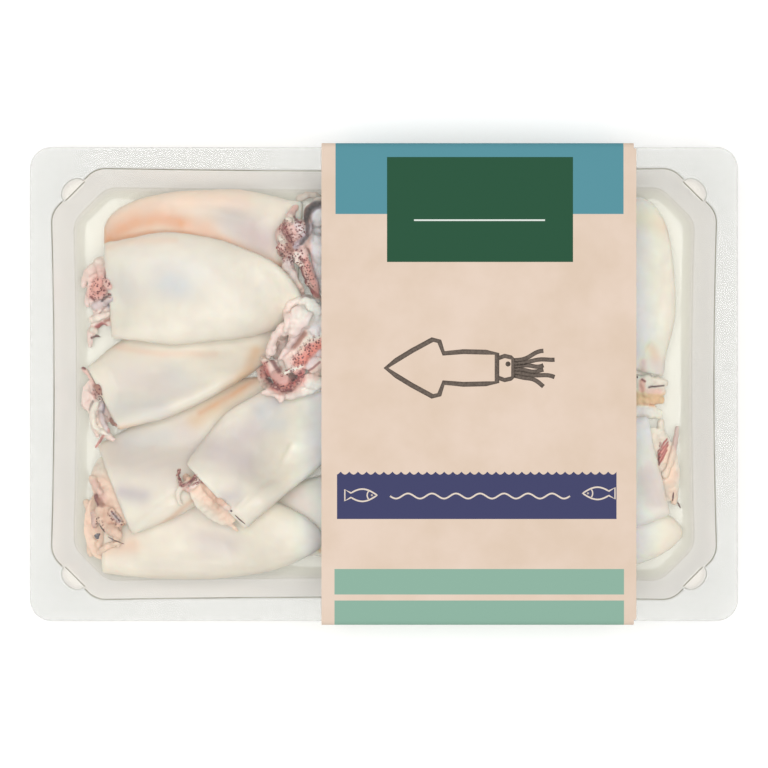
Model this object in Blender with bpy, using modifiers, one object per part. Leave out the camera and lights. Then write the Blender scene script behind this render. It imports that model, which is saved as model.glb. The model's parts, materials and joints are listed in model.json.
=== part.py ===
"""A sealed retail tray of whole raw squid in a card sleeve.

Metres, +Z up. The origin is on the surface that the pack stands on, under the middle of the
tray. +X runs along the tray's long side and +Y across it. The tray, its lidding film and the
card sleeve are closed thin shells. Each squid is a mantle, laid over what lies under it, and
each head that shows is a cluster of arms fused to one core.
"""

import math
from dataclasses import dataclass, field

import bmesh
import bpy
import numpy as np
from mathutils import Vector

# Sheet thicknesses, and the gap between pieces that touch
SHEET = 0.0006
FILM = 0.0002
CARD = 0.0005
GAP = 0.0003

# Tray
TRAY_LENGTH = 0.230
TRAY_WIDTH = 0.154
TRAY_DEPTH = 0.038
FLANGE_RADIUS = 0.007
FLANGE_WIDTH = 0.007
MOUTH_CUT = 0.0142
MOUTH_RADIUS = 0.008
WALL_DRAFT = 0.0045
BASE_CUT = 0.0110
BASE_FILLET = 0.0042
SIDE_BOW = 0.0008
LUG_LENGTH = 0.0090
LUG_REACH = 0.0032
LUG_DEPTH = 0.0065
FILM_INSET = 0.0010

# Card sleeve round the tray, right of its middle
SLEEVE_LEFT = -0.0203
SLEEVE_RIGHT = 0.0811
SLEEVE_FACE_LIP = 0.0008
SLEEVE_TOP_HALF = 0.0788
SLEEVE_BASE_HALF = 0.0674
SLEEVE_FOLD = 0.0016
LAP_OUTER_END = -0.050
LAP_INNER_END = -0.020

# Heights of the stack, from the surface up
BASE_Z = 2 * (CARD + GAP)
FLOOR_Z = BASE_Z + SHEET
FLANGE_Z = BASE_Z + TRAY_DEPTH
FILM_Z = FLANGE_Z + GAP
SLEEVE_Z = FILM_Z + FILM + GAP + CARD

# Squid flesh, and how it lies on what is under it
MANTLE_WALL = 0.0020
HOLLOW_DEPTH = 0.0090
REST_GAP = 0.0006
ARM_RADIUS = 0.0021
ARM_TAPER = 0.55
ARM_SETTLE = 0.009
ARM_SLOPE = 0.55
PILE_STEP = 0.001
DRAPE_REACH = 0.005

# A mantle's outline and section: how blunt its tip is, how round it is above and below
TIP_TAPER = 3
TIP_BLUNTNESS = 0.62
SIDE_ROUNDNESS = 2.4
TOP_ROUNDNESS = 2.2
BELLY_ROUNDNESS = 3.6
BELLY_SHARE = 0.40
RIM_THICKNESS = 0.76
RIM_SPREAD = 0.35
LEAN_REACH = 0.5

# Mesh fineness
CORNER_STEPS = 3
SIDE_STEPS = 4
FILLET_STEPS = 3
FOLD_STEPS = 4
LUG_STEPS = 10
SECTION_POINTS = 16
MANTLE_STATIONS = (0.0, 0.06, 0.16, 0.30, 0.45, 0.60, 0.73, 0.84, 0.92, 0.97, 0.993)
PLUG_STATIONS = (-0.97, -0.7, -0.2, 0.35, 0.75, 0.97)
ARM_POINTS = 7
WELD = 1e-6

# Rounding a square corner by an eighth turn at each end leaves it cut by this share of the radius
EIGHTH_TURN_CUT = 2 - math.sqrt(2)


@dataclass
class Arm:
    """One arm that turns evenly along its length; angles in degrees.

    start is a point in plan on a loose head; on a tucked one it is how far into the mantle and
    how far across its mouth the arm starts.
    """

    start: tuple
    heading: float
    turn: float
    length: float
    radius: float = ARM_RADIUS
    lift: float = 0.0


@dataclass
class Squid:
    """One mantle. heading runs from the mouth to the tip, in degrees; slant leans the rim."""

    name: str
    mouth: tuple
    heading: float
    length: float
    width: float
    thickness: float = 0.0120
    bend: float = 0.0
    slant: float = 0.0
    rim_width: float = 0.84
    bluntness: float = TIP_BLUNTNESS
    has_head: bool = False
    arms: list = field(default_factory=list)


@dataclass
class LooseHead:
    """A head that lies outside its mantle: a core and the arms that grow from it."""

    name: str
    core: tuple
    core_size: tuple
    arms: list


# Lowest first, each laid over those before it
SQUIDS_AND_HEADS = (
    Squid("mantle_mid_low", (0.020, -0.040), 186, 0.066, 0.033),
    Squid("mantle_right_low", (0.034, -0.0505), 1, 0.066, 0.030),
    Squid("mantle_far_mid", (0.043, 0.046), 180, 0.066, 0.034),
    Squid("mantle_far_left", (-0.028, 0.0449), 176, 0.066, 0.038, bluntness=0.44),
    Squid(
        "mantle_near_left",
        (-0.0930, -0.0465),
        -4,
        0.0735,
        0.035,
        rim_width=0.96,
        has_head=True,
        arms=[
            Arm((-0.003, -0.0050), 230, 60, 0.007),
            Arm((-0.003, 0.0030), 150, -40, 0.006),
        ],
    ),
    Squid(
        "mantle_far_right",
        (0.0790, 0.0060),
        86,
        0.057,
        0.035,
        slant=0.05,
        bluntness=0.44,
        has_head=True,
        arms=[
            Arm((-0.003, 0.0050), 262, 30, 0.011),
            Arm((-0.003, -0.0020), 285, -35, 0.011),
            Arm((-0.003, -0.0080), 320, -80, 0.012),
        ],
    ),
    Squid("mantle_centre", (-0.0130, 0.0150), 0, 0.064, 0.034),
    Squid(
        "mantle_mid_left",
        (-0.0895, -0.0352),
        22,
        0.064,
        0.035,
        thickness=0.0115,
        bend=26,
        rim_width=0.94,
        has_head=True,
        arms=[
            Arm((-0.003, 0.0020), 248, 40, 0.008),
            Arm((-0.003, -0.0045), 255, 30, 0.010),
            Arm((-0.003, -0.0105), 262, 20, 0.008),
        ],
    ),
    Squid(
        "mantle_near_right",
        (0.0914, -0.0270),
        192,
        0.060,
        0.040,
        bend=-8,
        rim_width=0.86,
        has_head=True,
        arms=[
            Arm((-0.003, -0.0080), 100, -20, 0.007),
            Arm((-0.003, 0.0000), 280, 10, 0.007),
            Arm((-0.003, 0.0080), 285, -20, 0.006),
        ],
    ),
    Squid(
        "mantle_left",
        (-0.0936, -0.0048),
        28,
        0.066,
        0.033,
        thickness=0.0115,
        bend=-14,
        rim_width=0.74,
        has_head=True,
        arms=[
            Arm((-0.003, 0.0040), 230, 50, 0.006),
            Arm((-0.003, -0.0010), 250, 50, 0.011),
            Arm((-0.003, -0.0050), 265, 70, 0.010),
        ],
    ),
    LooseHead(
        "head_far_left",
        (-0.0295, 0.0490),
        (0.0068, 0.0058, 0.0045),
        [
            Arm((-0.0320, 0.0460), 268, 40, 0.019, lift=0.0010),
            Arm((-0.0285, 0.0455), 285, 15, 0.023, lift=0.0020),
            Arm((-0.0255, 0.0485), 302, -25, 0.021),
            Arm((-0.0310, 0.0510), 105, -60, 0.009),
            Arm((-0.0260, 0.0525), 55, -30, 0.015, 0.0016),
        ],
    ),
    Squid(
        "mantle_front_left",
        (-0.0918, 0.0310),
        5,
        0.066,
        0.039,
        bend=-20,
        has_head=True,
        arms=[
            Arm((-0.003, 0.0085), 205, 60, 0.009),
            Arm((-0.003, 0.0025), 215, 55, 0.009),
            Arm((-0.003, -0.0040), 150, -60, 0.008),
            Arm((-0.003, -0.0090), 215, 70, 0.011),
        ],
    ),
    Squid(
        "mantle_front_mid",
        (-0.0555, -0.0370),
        51,
        0.066,
        0.035,
        bend=-36,
        slant=0.03,
        has_head=True,
        arms=[
            Arm((-0.003, 0.0085), 170, 150, 0.010, 0.0015),
            Arm((-0.003, 0.0020), 318, -8, 0.008, 0.0014),
            Arm((-0.003, -0.0070), 318, 0, 0.006, 0.0012),
        ],
    ),
    LooseHead(
        "head_centre",
        (-0.0210, 0.0140),
        (0.0110, 0.0100, 0.0060),
        [
            Arm((-0.0200, 0.0230), 172, 92, 0.026, 0.0024),
            Arm((-0.0200, 0.0190), 196, 74, 0.027, 0.0022, 0.0010),
            Arm((-0.0220, 0.0150), 205, 72, 0.026, 0.0026),
            Arm((-0.0220, 0.0110), 212, -38, 0.018, 0.0026, 0.0012),
            Arm((-0.0180, 0.0080), 232, -52, 0.026, 0.0024),
            Arm((-0.0120, 0.0080), 238, -62, 0.028, 0.0022),
        ],
    ),
)


def clear_scene():
    for obj in list(bpy.data.objects):
        bpy.data.objects.remove(obj, do_unlink=True)


def new_collection(name):
    made = bpy.data.collections.new(name)
    bpy.context.scene.collection.children.link(made)
    return made


def make_material(name, colour, roughness, alpha=1.0):
    """A Principled material; colour is linear RGB."""
    made = bpy.data.materials.new(name)
    made.use_nodes = True
    shader = made.node_tree.nodes["Principled BSDF"]
    shader.inputs["Base Color"].default_value = (*colour, 1.0)
    shader.inputs["Roughness"].default_value = roughness
    shader.inputs["Metallic"].default_value = 0.0
    shader.inputs["Alpha"].default_value = alpha
    return made


def add_object(name, data, collection, material):
    made = bpy.data.objects.new(name, data)
    data.materials.clear()
    data.materials.append(material)
    collection.objects.link(made)
    return made


def smooth_mesh(mesh, angle=50):
    mesh.shade_smooth()
    mesh.set_sharp_from_angle(angle=math.radians(angle))


def loft(name, rings):
    """A closed mesh through rings of equal count, capped at both ends."""
    mesh = bpy.data.meshes.new(name)
    bm = bmesh.new()
    loops = [[bm.verts.new(point) for point in ring] for ring in rings]
    for lower, upper in zip(loops, loops[1:]):
        for i, vertex in enumerate(lower):
            j = (i + 1) % len(lower)
            bm.faces.new((vertex, lower[j], upper[j], upper[i]))
    bm.faces.new(loops[0])
    bm.faces.new(loops[-1])
    finish_mesh(bm, mesh)
    return mesh


def finish_mesh(bm, mesh):
    """Welds a mesh's doubled points, points its faces out and stores it."""
    bmesh.ops.remove_doubles(bm, verts=bm.verts, dist=WELD)
    bmesh.ops.recalc_face_normals(bm, faces=bm.faces)
    bm.to_mesh(mesh)
    bm.free()


def curve_to_mesh(helper):
    """The closed mesh of a curve object, in world space; the curve is removed."""
    bpy.context.view_layer.update()
    graph = bpy.context.evaluated_depsgraph_get()
    mesh = bpy.data.meshes.new_from_object(helper.evaluated_get(graph))
    mesh.transform(helper.matrix_world)
    bpy.data.objects.remove(helper, do_unlink=True)
    bm = bmesh.new()
    bm.from_mesh(mesh)
    finish_mesh(bm, mesh)
    return mesh


def boolean(target, operation, tools):
    """A live Boolean against a whole collection."""
    modifier = target.modifiers.new(operation.lower(), "BOOLEAN")
    modifier.operation = operation
    modifier.operand_type = "COLLECTION"
    modifier.collection = tools
    modifier.solver = "EXACT"


def apply_booleans(obj, *tool_collections):
    """Replaces an object's mesh with its evaluated one and removes the tools that shaped it."""
    bpy.context.view_layer.update()
    graph = bpy.context.evaluated_depsgraph_get()
    mesh = bpy.data.meshes.new_from_object(obj.evaluated_get(graph))
    obj.modifiers.clear()
    obj.data = mesh
    for tools in tool_collections:
        for tool in list(tools.objects):
            bpy.data.objects.remove(tool, do_unlink=True)
        bpy.data.collections.remove(tools)


def rounded_corner(before, corner, after, radius, steps):
    """The arc that rounds one corner of a flat path, as steps + 1 points."""
    into = (corner - before).normalized()
    out = (after - corner).normalized()
    turn = math.atan2(into.x * out.y - into.y * out.x, into.dot(out))
    start = corner - into * radius * math.tan(abs(turn) / 2)
    side = math.copysign(1.0, turn)
    centre = start + Vector((-into.y, into.x)) * radius * side
    spoke = start - centre
    points = []
    for k in range(steps + 1):
        angle = turn * k / steps
        c, s = math.cos(angle), math.sin(angle)
        points.append(centre + Vector((spoke.x * c - spoke.y * s, spoke.x * s + spoke.y * c)))
    return points


def cut_corner_ring(half_x, half_y, cut, radius, z, bow=0.0):
    """A level ring: a rectangle with cut, rounded corners, whose four sides bow inwards."""
    corners = []
    for sx, sy in ((1, -1), (1, 1), (-1, 1), (-1, -1)):
        along_y = Vector((sx * half_x, sy * (half_y - cut)))
        along_x = Vector((sx * (half_x - cut), sy * half_y))
        corners += [along_x, along_y] if sx * sy < 0 else [along_y, along_x]
    count = len(corners)
    arcs = []
    for i, corner in enumerate(corners):
        after = corners[(i + 1) % count]
        arcs.append(rounded_corner(corners[i - 1], corner, after, radius, CORNER_STEPS))
    ring = []
    for i, arc in enumerate(arcs):
        ring += arc
        if i % 2 == 1:
            ring += bowed_side(arc[-1], arcs[(i + 1) % count][0], bow)
    return [(p.x, p.y, z) for p in ring]


def bowed_side(start, end, bow):
    """Points between two corners of a side, pressed inwards at its middle."""
    along = end - start
    inward = Vector((-along.y, along.x)).normalized()
    shares = [k / SIDE_STEPS for k in range(1, SIDE_STEPS)]
    return [start + along * u + inward * bow * 4 * u * (1 - u) for u in shares]


def wall_ring(inset, z, draft_share, bow=SIDE_BOW):
    """The tray's wall line, moved in from the flange's inner edge by the draft and the inset."""
    back = WALL_DRAFT * draft_share + inset
    cut = MOUTH_CUT + (BASE_CUT - MOUTH_CUT) * draft_share - EIGHTH_TURN_CUT * inset
    radius = max(MOUTH_RADIUS - inset, BASE_FILLET / 2)
    half_x = TRAY_LENGTH / 2 - FLANGE_WIDTH - back
    half_y = TRAY_WIDTH / 2 - FLANGE_WIDTH - back
    return cut_corner_ring(half_x, half_y, cut, radius, z, bow)


def fillet_rings(outset, floor_z):
    """Rings down the rounded foot of the wall, from its start to the floor."""
    rings = []
    radius = BASE_FILLET + outset
    for k in range(FILLET_STEPS + 1):
        angle = math.pi / 2 * k / FILLET_STEPS
        inset = radius * (1 - math.cos(angle)) - outset
        rings.append(wall_ring(inset, floor_z + radius * (1 - math.sin(angle)), 1.0))
    return rings


def tray_body():
    """The tray's outside as one solid: flange plate, drafted wall and floor."""
    half_x, half_y = TRAY_LENGTH / 2, TRAY_WIDTH / 2
    cut = FLANGE_RADIUS * EIGHTH_TURN_CUT
    top = cut_corner_ring(half_x, half_y, cut, FLANGE_RADIUS, FLANGE_Z)
    under = [(x, y, FLANGE_Z - SHEET) for x, y, _ in top]
    neck = wall_ring(-SHEET, FLANGE_Z - SHEET, 0.0)
    return loft("tray", [top, under, neck, *fillet_rings(SHEET, BASE_Z)])


def tray_cavity():
    above = wall_ring(0.0, FLANGE_Z + 2 * SHEET, 0.0)
    mouth = wall_ring(0.0, FLANGE_Z, 0.0)
    return loft("cavity", [above, mouth, *fillet_rings(0.0, FLOOR_Z)])


def lug_prism(name, sx, sy, grow, inner, low_z, high_z):
    """A half-moon post at one cut corner: its bow faces out, its straight side in."""
    cut_middle = MOUTH_CUT / 2 + FLANGE_WIDTH
    middle = Vector((sx * (TRAY_LENGTH / 2 - cut_middle), sy * (TRAY_WIDTH / 2 - cut_middle)))
    out = Vector((sx, sy)).normalized()
    along = Vector((-out.y, out.x))
    half = LUG_LENGTH / 2 + grow
    reach = LUG_REACH + grow
    outline = [middle + along * half - out * inner]
    for k in range(LUG_STEPS + 1):
        angle = math.pi * k / LUG_STEPS
        outline.append(middle + along * half * math.cos(angle) + out * reach * math.sin(angle))
    outline.append(middle - along * half - out * inner)
    rings = [[(p.x, p.y, z) for p in outline] for z in (low_z, high_z)]
    return loft(name, rings)


def build_tray(parts, material):
    """Body and lug posts joined, then the cavity and the lug pockets cut out of them."""
    posts = new_collection("tray posts")
    cutters = new_collection("tray cutters")
    add_object("cavity", tray_cavity(), cutters, material)
    shelf = FLANGE_Z - LUG_DEPTH
    inner = LUG_REACH
    for sx in (1, -1):
        for sy in (1, -1):
            post = lug_prism("post", sx, sy, SHEET, inner, shelf - SHEET, FLANGE_Z - SHEET / 2)
            pocket = lug_prism("pocket", sx, sy, 0.0, 2 * inner, shelf, FLANGE_Z + SHEET)
            add_object("post", post, posts, material)
            add_object("pocket", pocket, cutters, material)
    tray = add_object("tray", tray_body(), parts, material)
    boolean(tray, "UNION", posts)
    boolean(tray, "DIFFERENCE", cutters)
    apply_booleans(tray, posts, cutters)
    smooth_mesh(tray.data)


def build_film(parts, material):
    """The lidding film: a flat sheet sealed to the flange, just inside its edge."""
    half_x, half_y = TRAY_LENGTH / 2 - FILM_INSET, TRAY_WIDTH / 2 - FILM_INSET
    radius = FLANGE_RADIUS - FILM_INSET
    corners = []
    for x, y in ((half_x, -half_y), (half_x, half_y), (-half_x, half_y), (-half_x, -half_y)):
        corners.append(Vector((x, y)))
    outline = []
    for i, corner in enumerate(corners):
        after = corners[(i + 1) % len(corners)]
        outline += rounded_corner(corners[i - 1], corner, after, radius, 2 * CORNER_STEPS)
    curve = bpy.data.curves.new("film", "CURVE")
    curve.dimensions = "2D"
    curve.fill_mode = "BOTH"
    curve.extrude = FILM / 2
    spline = curve.splines.new("POLY")
    spline.points.add(len(outline) - 1)
    for point, place in zip(spline.points, outline):
        point.co = (place.x, place.y, 0.0, 1.0)
    spline.use_cyclic_u = True
    sheet = add_object("film", curve, parts, material)
    sheet.location.z = FILM_Z + FILM / 2
    add_object("film", curve_to_mesh(sheet), parts, material)


def sleeve_path():
    """The sleeve's section at mid thickness as (y, z) points, and which two end its top face."""
    top_z = SLEEVE_Z - CARD / 2
    half = SLEEVE_TOP_HALF - CARD / 2
    inner_z = CARD / 2 + CARD + GAP
    corners = [
        Vector((LAP_INNER_END, inner_z)),
        Vector((-SLEEVE_BASE_HALF, inner_z)),
        Vector((-half, top_z)),
        Vector((half, top_z)),
        Vector((SLEEVE_BASE_HALF, CARD / 2)),
        Vector((LAP_OUTER_END, CARD / 2)),
    ]
    path = [(corners[0], False)]
    face_start, face_end = 2, 3
    for i in range(1, len(corners) - 1):
        arc = rounded_corner(corners[i - 1], corners[i], corners[i + 1], SLEEVE_FOLD, FOLD_STEPS)
        for k, point in enumerate(arc):
            starts = i == face_start and k == FOLD_STEPS
            ends = i == face_end and k == 0
            path.append((point, starts or ends))
    path.append((corners[-1], False))
    return path


def build_sleeve(parts, material):
    """A card strip folded round the tray, lapped under it, with a slightly wider top face."""
    mesh = bpy.data.meshes.new("sleeve")
    bm = bmesh.new()
    path = sleeve_path()
    lefts = [bm.verts.new((SLEEVE_LEFT, p.x, p.y)) for p, _ in path]
    rights = [bm.verts.new((SLEEVE_RIGHT, p.x, p.y)) for p, _ in path]
    for i in range(len(path) - 1):
        bm.faces.new((lefts[i], rights[i], rights[i + 1], lefts[i + 1]))
    edges = [rights[i] for i, (_, on_face) in enumerate(path) if on_face]
    lips = [bm.verts.new(v.co + Vector((SLEEVE_FACE_LIP, 0, 0))) for v in edges]
    bm.faces.new((edges[0], lips[0], lips[1], edges[1]))
    bmesh.ops.recalc_face_normals(bm, faces=bm.faces)
    bm.to_mesh(mesh)
    bm.free()
    sleeve = add_object("sleeve", mesh, parts, material)
    solidify = sleeve.modifiers.new("card", "SOLIDIFY")
    solidify.thickness = CARD
    solidify.offset = 0.0
    solidify.use_even_offset = True


class Pile:
    """How high the tray is filled, on a grid of points, while squid are laid in it."""

    LAST = 1.001

    def __init__(self):
        half_x = TRAY_LENGTH / 2 - FLANGE_WIDTH
        half_y = TRAY_WIDTH / 2 - FLANGE_WIDTH
        self.xs = np.arange(-half_x, half_x + PILE_STEP / 2, PILE_STEP)
        self.ys = np.arange(-half_y, half_y + PILE_STEP / 2, PILE_STEP)
        self.x, self.y = np.meshgrid(self.xs, self.ys, indexing="ij")
        self.height = self.tray_floor()

    def tray_floor(self):
        """The floor, rising round its edge as the wall's rounded foot does."""
        back = WALL_DRAFT + BASE_FILLET
        flat_x = TRAY_LENGTH / 2 - FLANGE_WIDTH - back
        flat_y = TRAY_WIDTH / 2 - FLANGE_WIDTH - back
        flat_cut = BASE_CUT - EIGHTH_TURN_CUT * BASE_FILLET
        past_cut = (abs(self.x) + abs(self.y) - (flat_x + flat_y - flat_cut)) / math.sqrt(2)
        past = np.maximum.reduce([abs(self.x) - flat_x, abs(self.y) - flat_y, past_cut])
        past = np.clip(past, 0, BASE_FILLET)
        return FLOOR_Z + BASE_FILLET - np.sqrt(BASE_FILLET**2 - past**2)

    def softened(self, reach):
        """A smooth surface that is nowhere below the pile: widened, then averaged as far."""
        cells = round(reach / PILE_STEP)
        span = range(-cells, cells + 1)
        disc = [(i, j) for i in span for j in span if i * i + j * j <= cells * cells]
        wide = np.maximum.reduce([shifted(self.height, i, j, cells) for i, j in disc])
        return sum(shifted(wide, i, j, cells) for i, j in disc) / len(disc)

    def sample(self, grid, x, y):
        """The grid's value at points, between its nodes."""
        u = np.clip((np.asarray(x) - self.xs[0]) / PILE_STEP, 0, len(self.xs) - self.LAST)
        v = np.clip((np.asarray(y) - self.ys[0]) / PILE_STEP, 0, len(self.ys) - self.LAST)
        i, j = u.astype(int), v.astype(int)
        a, b = u - i, v - j
        low = grid[i, j] * (1 - b) + grid[i, j + 1] * b
        high = grid[i + 1, j] * (1 - b) + grid[i + 1, j + 1] * b
        return low * (1 - a) + high * a

    def raise_to(self, tops, where):
        self.height = np.where(where, np.maximum(self.height, tops), self.height)

    def raise_disc(self, x, y, radius, top):
        inside = (self.x - x) ** 2 + (self.y - y) ** 2 <= radius**2
        self.raise_to(top, inside)


def shifted(grid, i, j, pad):
    wide = np.pad(grid, pad, mode="edge")
    rows, columns = grid.shape
    return wide[pad + i : pad + i + rows, pad + j : pad + j + columns]


def smooth_share(value):
    value = np.clip(value, 0.0, 1.0)
    return value * value * (3 - 2 * value)


class Mantle:
    """The shape of one squid's mantle in plan and section, and where it rests.

    s runs from 0 at the mouth to 1 at the tip.
    """

    SAMPLES = 66
    BACK = -0.3

    def __init__(self, squid, pile, rest):
        self.squid, self.pile, self.rest = squid, pile, rest
        self.s = np.linspace(self.BACK, 1.0, self.SAMPLES)
        headings = np.radians(squid.heading + squid.bend * np.clip(self.s, 0, 1))
        self.ahead = np.stack([np.cos(headings), np.sin(headings)], axis=1)
        steps = (self.ahead[1:] + self.ahead[:-1]) / 2 * (self.s[1] - self.s[0]) * squid.length
        line = np.concatenate([np.zeros((1, 2)), np.cumsum(steps, axis=0)])
        zero = np.array([np.interp(0.0, self.s, line[:, k]) for k in (0, 1)])
        self.line = line - zero + np.array(squid.mouth)

    def half_width(self, s):
        s = np.clip(s, 0.0, 1.0)
        rim = self.squid.rim_width + (1 - self.squid.rim_width) * smooth_share(s / RIM_SPREAD)
        return self.squid.width / 2 * (1 - s**TIP_TAPER) ** self.squid.bluntness * rim

    def thickness(self, s):
        s = np.clip(s, 0.0, 1.0)
        rim = RIM_THICKNESS + (1 - RIM_THICKNESS) * smooth_share(s / RIM_SPREAD)
        return self.squid.thickness * np.sqrt(1 - s ** (TIP_TAPER + 1)) * rim

    def place(self, s, across):
        """Plan position of a point s along the mantle and across it, both arrays."""
        centre = [np.interp(s, self.s, self.line[:, k]) for k in (0, 1)]
        ahead = [np.interp(s, self.s, self.ahead[:, k]) for k in (0, 1)]
        return centre[0] - ahead[1] * across, centre[1] + ahead[0] * across

    def ring(self, s, keep_across=1.0, keep_up=1.0):
        """One section as 3D points; the keep values shrink it about its own middle."""
        angles = np.arange(SECTION_POINTS) * 2 * math.pi / SECTION_POINTS
        side, rise = np.cos(angles), np.sin(angles)
        side = np.sign(side) * abs(side) ** (2 / SIDE_ROUNDNESS)
        top = (1 - BELLY_SHARE) * abs(rise) ** (2 / TOP_ROUNDNESS)
        belly = -BELLY_SHARE * abs(rise) ** (2 / BELLY_ROUNDNESS)
        up = np.where(rise > 0, top, belly)
        lean = self.squid.slant * side * keep_across * np.clip(1 - s / LEAN_REACH, 0, 1)
        x, y = self.place(s + lean, side * self.half_width(s) * keep_across)
        z = self.pile.sample(self.rest, x, y) + REST_GAP
        z = z + self.thickness(s) * (BELLY_SHARE + up * keep_up)
        return list(zip(x, y, z))

    def keeps(self, s, wall):
        """How far a section shrinks to leave a wall of that thickness."""
        return 1 - wall / self.half_width(s), 1 - 2 * wall / self.thickness(s)

    def solid(self, name):
        """The mantle's body, from the pointed end of its mouth's hollow out to the tip."""
        deep = HOLLOW_DEPTH / self.squid.length
        hollow_end = self.ring(deep * 1.25, 0.30, 0.10)
        rings = [hollow_end]
        rings += [self.ring(s, *self.keeps(s, MANTLE_WALL)) for s in (deep, deep / 2, 0.0)]
        rings += [self.ring(s) for s in MANTLE_STATIONS]
        return loft(name, rings)

    def plug(self, name):
        """The head's core, tucked in the mouth with a clear gap to the hollow's wall."""
        reach = 0.75 * HOLLOW_DEPTH / self.squid.length
        back = 0.05 * HOLLOW_DEPTH / self.squid.length
        wide, high = self.keeps(0.0, MANTLE_WALL + 3 * REST_GAP)
        rings = []
        for share in PLUG_STATIONS:
            size = math.sqrt(1 - share**2)
            rings.append(self.ring(reach * share - back, wide * size, high * size))
        return loft(name, rings)

    def in_mouth(self, inward, across):
        """Plan position of a point in the mouth, measured from its leaning rim."""
        lean = self.squid.slant * across / float(self.half_width(0.0))
        x, y = self.place(inward / self.squid.length + lean, across)
        return float(x), float(y)

    def core_z(self, x, y):
        """The middle height of the head's core at a point in plan."""
        middle = float(self.thickness(0.0)) * BELLY_SHARE
        return float(self.pile.sample(self.rest, x, y)) + REST_GAP + middle

    def stamp(self):
        """Raises the pile by this mantle's upper surface."""
        pile = self.pile
        cells = np.stack([pile.x.ravel(), pile.y.ravel()], axis=1)
        gaps = ((cells[:, None, :] - self.line[None, :, :]) ** 2).sum(axis=2)
        nearest = gaps.argmin(axis=1)
        away = cells - self.line[nearest]
        ahead = self.ahead[nearest]
        across = away[:, 1] * ahead[:, 0] - away[:, 0] * ahead[:, 1]
        s = self.s[nearest] + (away * ahead).sum(axis=1) / self.squid.length
        width = self.half_width(s)
        before_mouth = PILE_STEP / self.squid.length
        inside = (s >= -before_mouth) & (s <= 1.0) & (abs(across) <= width + PILE_STEP)
        side = np.clip(abs(across) / np.maximum(width, WELD), 0, 1)
        round_top = (1 - side**SIDE_ROUNDNESS) ** (1 / TOP_ROUNDNESS)
        top = self.thickness(s) * (BELLY_SHARE + (1 - BELLY_SHARE) * round_top)
        shape = pile.x.shape
        pile.raise_to(self.rest + REST_GAP + top.reshape(shape), inside.reshape(shape))


def ball_height(pile, rest, x, y, radii):
    """How high balls rest on a surface, by their centres, with the gap under them."""
    found = pile.sample(rest, x, y) + radii
    spokes = 8
    for share in (0.5, 0.85):
        for k in range(spokes):
            angle = 2 * math.pi * k / spokes
            side_x, side_y = radii * share * math.cos(angle), radii * share * math.sin(angle)
            touch = pile.sample(rest, x + side_x, y + side_y) + radii * math.sqrt(1 - share**2)
            found = np.maximum(found, touch)
    return found + REST_GAP


def arm_route(arm, start, pile, rest, root_z):
    """Centre points and radii of an arm that starts at root_z and then lies on rest."""
    shares = np.linspace(0, 1, ARM_POINTS)
    headings = np.radians(arm.heading + arm.turn * (shares[1:] + shares[:-1]) / 2)
    step = arm.length / (ARM_POINTS - 1)
    x = start[0] + np.concatenate([[0], np.cumsum(np.cos(headings) * step)])
    y = start[1] + np.concatenate([[0], np.cumsum(np.sin(headings) * step)])
    radii = arm.radius * (1 - ARM_TAPER * shares**1.5)
    z = ball_height(pile, rest, x, y, radii) + arm.lift * np.sin(shares * math.pi)
    apart = abs(shares[:, None] - shares[None, :]) * arm.length
    z = (z[None, :] - ARM_SLOPE * apart).max(axis=1)
    settle = smooth_share(shares * arm.length / ARM_SETTLE)
    z = np.maximum(z, root_z * (1 - settle) + z * settle)
    return np.stack([x, y, z], axis=1), radii


def arm_mesh(name, points, radii):
    """A tapering tube through the points."""
    deepest = max(radii)
    curve = bpy.data.curves.new(name, "CURVE")
    curve.dimensions = "3D"
    curve.bevel_depth = deepest
    curve.bevel_resolution = 1
    curve.use_fill_caps = True
    spline = curve.splines.new("POLY")
    spline.points.add(len(points) - 1)
    for point, place, radius in zip(spline.points, points, radii):
        point.co = (*place, 1.0)
        point.radius = radius / deepest
    helper = bpy.data.objects.new(name, curve)
    bpy.context.scene.collection.objects.link(helper)
    return curve_to_mesh(helper)


def fuse(name, core, limbs, parts, material):
    """Joins the limbs to the core as one solid."""
    tools = new_collection(name + " limbs")
    for k, limb in enumerate(limbs):
        add_object(f"{name} limb {k}", limb, tools, material)
    head = add_object(name, core, parts, material)
    boolean(head, "UNION", tools)
    apply_booleans(head, tools)
    smooth_mesh(head.data)


def loose_core(name, head, pile, rest):
    """An egg-shaped core that gives way to what it lies on, and the height of its middle."""
    wide, deep, high = head.core_size
    mesh = bpy.data.meshes.new(name)
    bm = bmesh.new()
    bmesh.ops.create_uvsphere(bm, u_segments=12, v_segments=8, radius=1.0)
    for vertex in bm.verts:
        x, y = head.core[0] + vertex.co.x * wide, head.core[1] + vertex.co.y * deep
        z = float(pile.sample(rest, x, y)) + REST_GAP + (1 + vertex.co.z) * high
        vertex.co = Vector((x, y, z))
    bm.to_mesh(mesh)
    bm.free()
    return mesh, float(pile.sample(rest, *head.core)) + REST_GAP + high


def lay_squid(squid, pile, parts, flesh, arm_flesh):
    rest = pile.softened(DRAPE_REACH)
    mantle = Mantle(squid, pile, rest)
    body = add_object(squid.name, mantle.solid(squid.name), parts, flesh)
    smooth_mesh(body.data)
    routes = []
    if squid.has_head:
        name = squid.name.replace("mantle", "head")
        limbs = []
        for arm in squid.arms:
            start = mantle.in_mouth(*arm.start)
            points, radii = arm_route(arm, start, pile, rest, mantle.core_z(*start))
            limbs.append(arm_mesh(name + " arm", points, radii))
            routes.append((points, radii))
        fuse(name, mantle.plug(name), limbs, parts, arm_flesh)
    mantle.stamp()
    stamp_arms(routes, pile)


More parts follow.
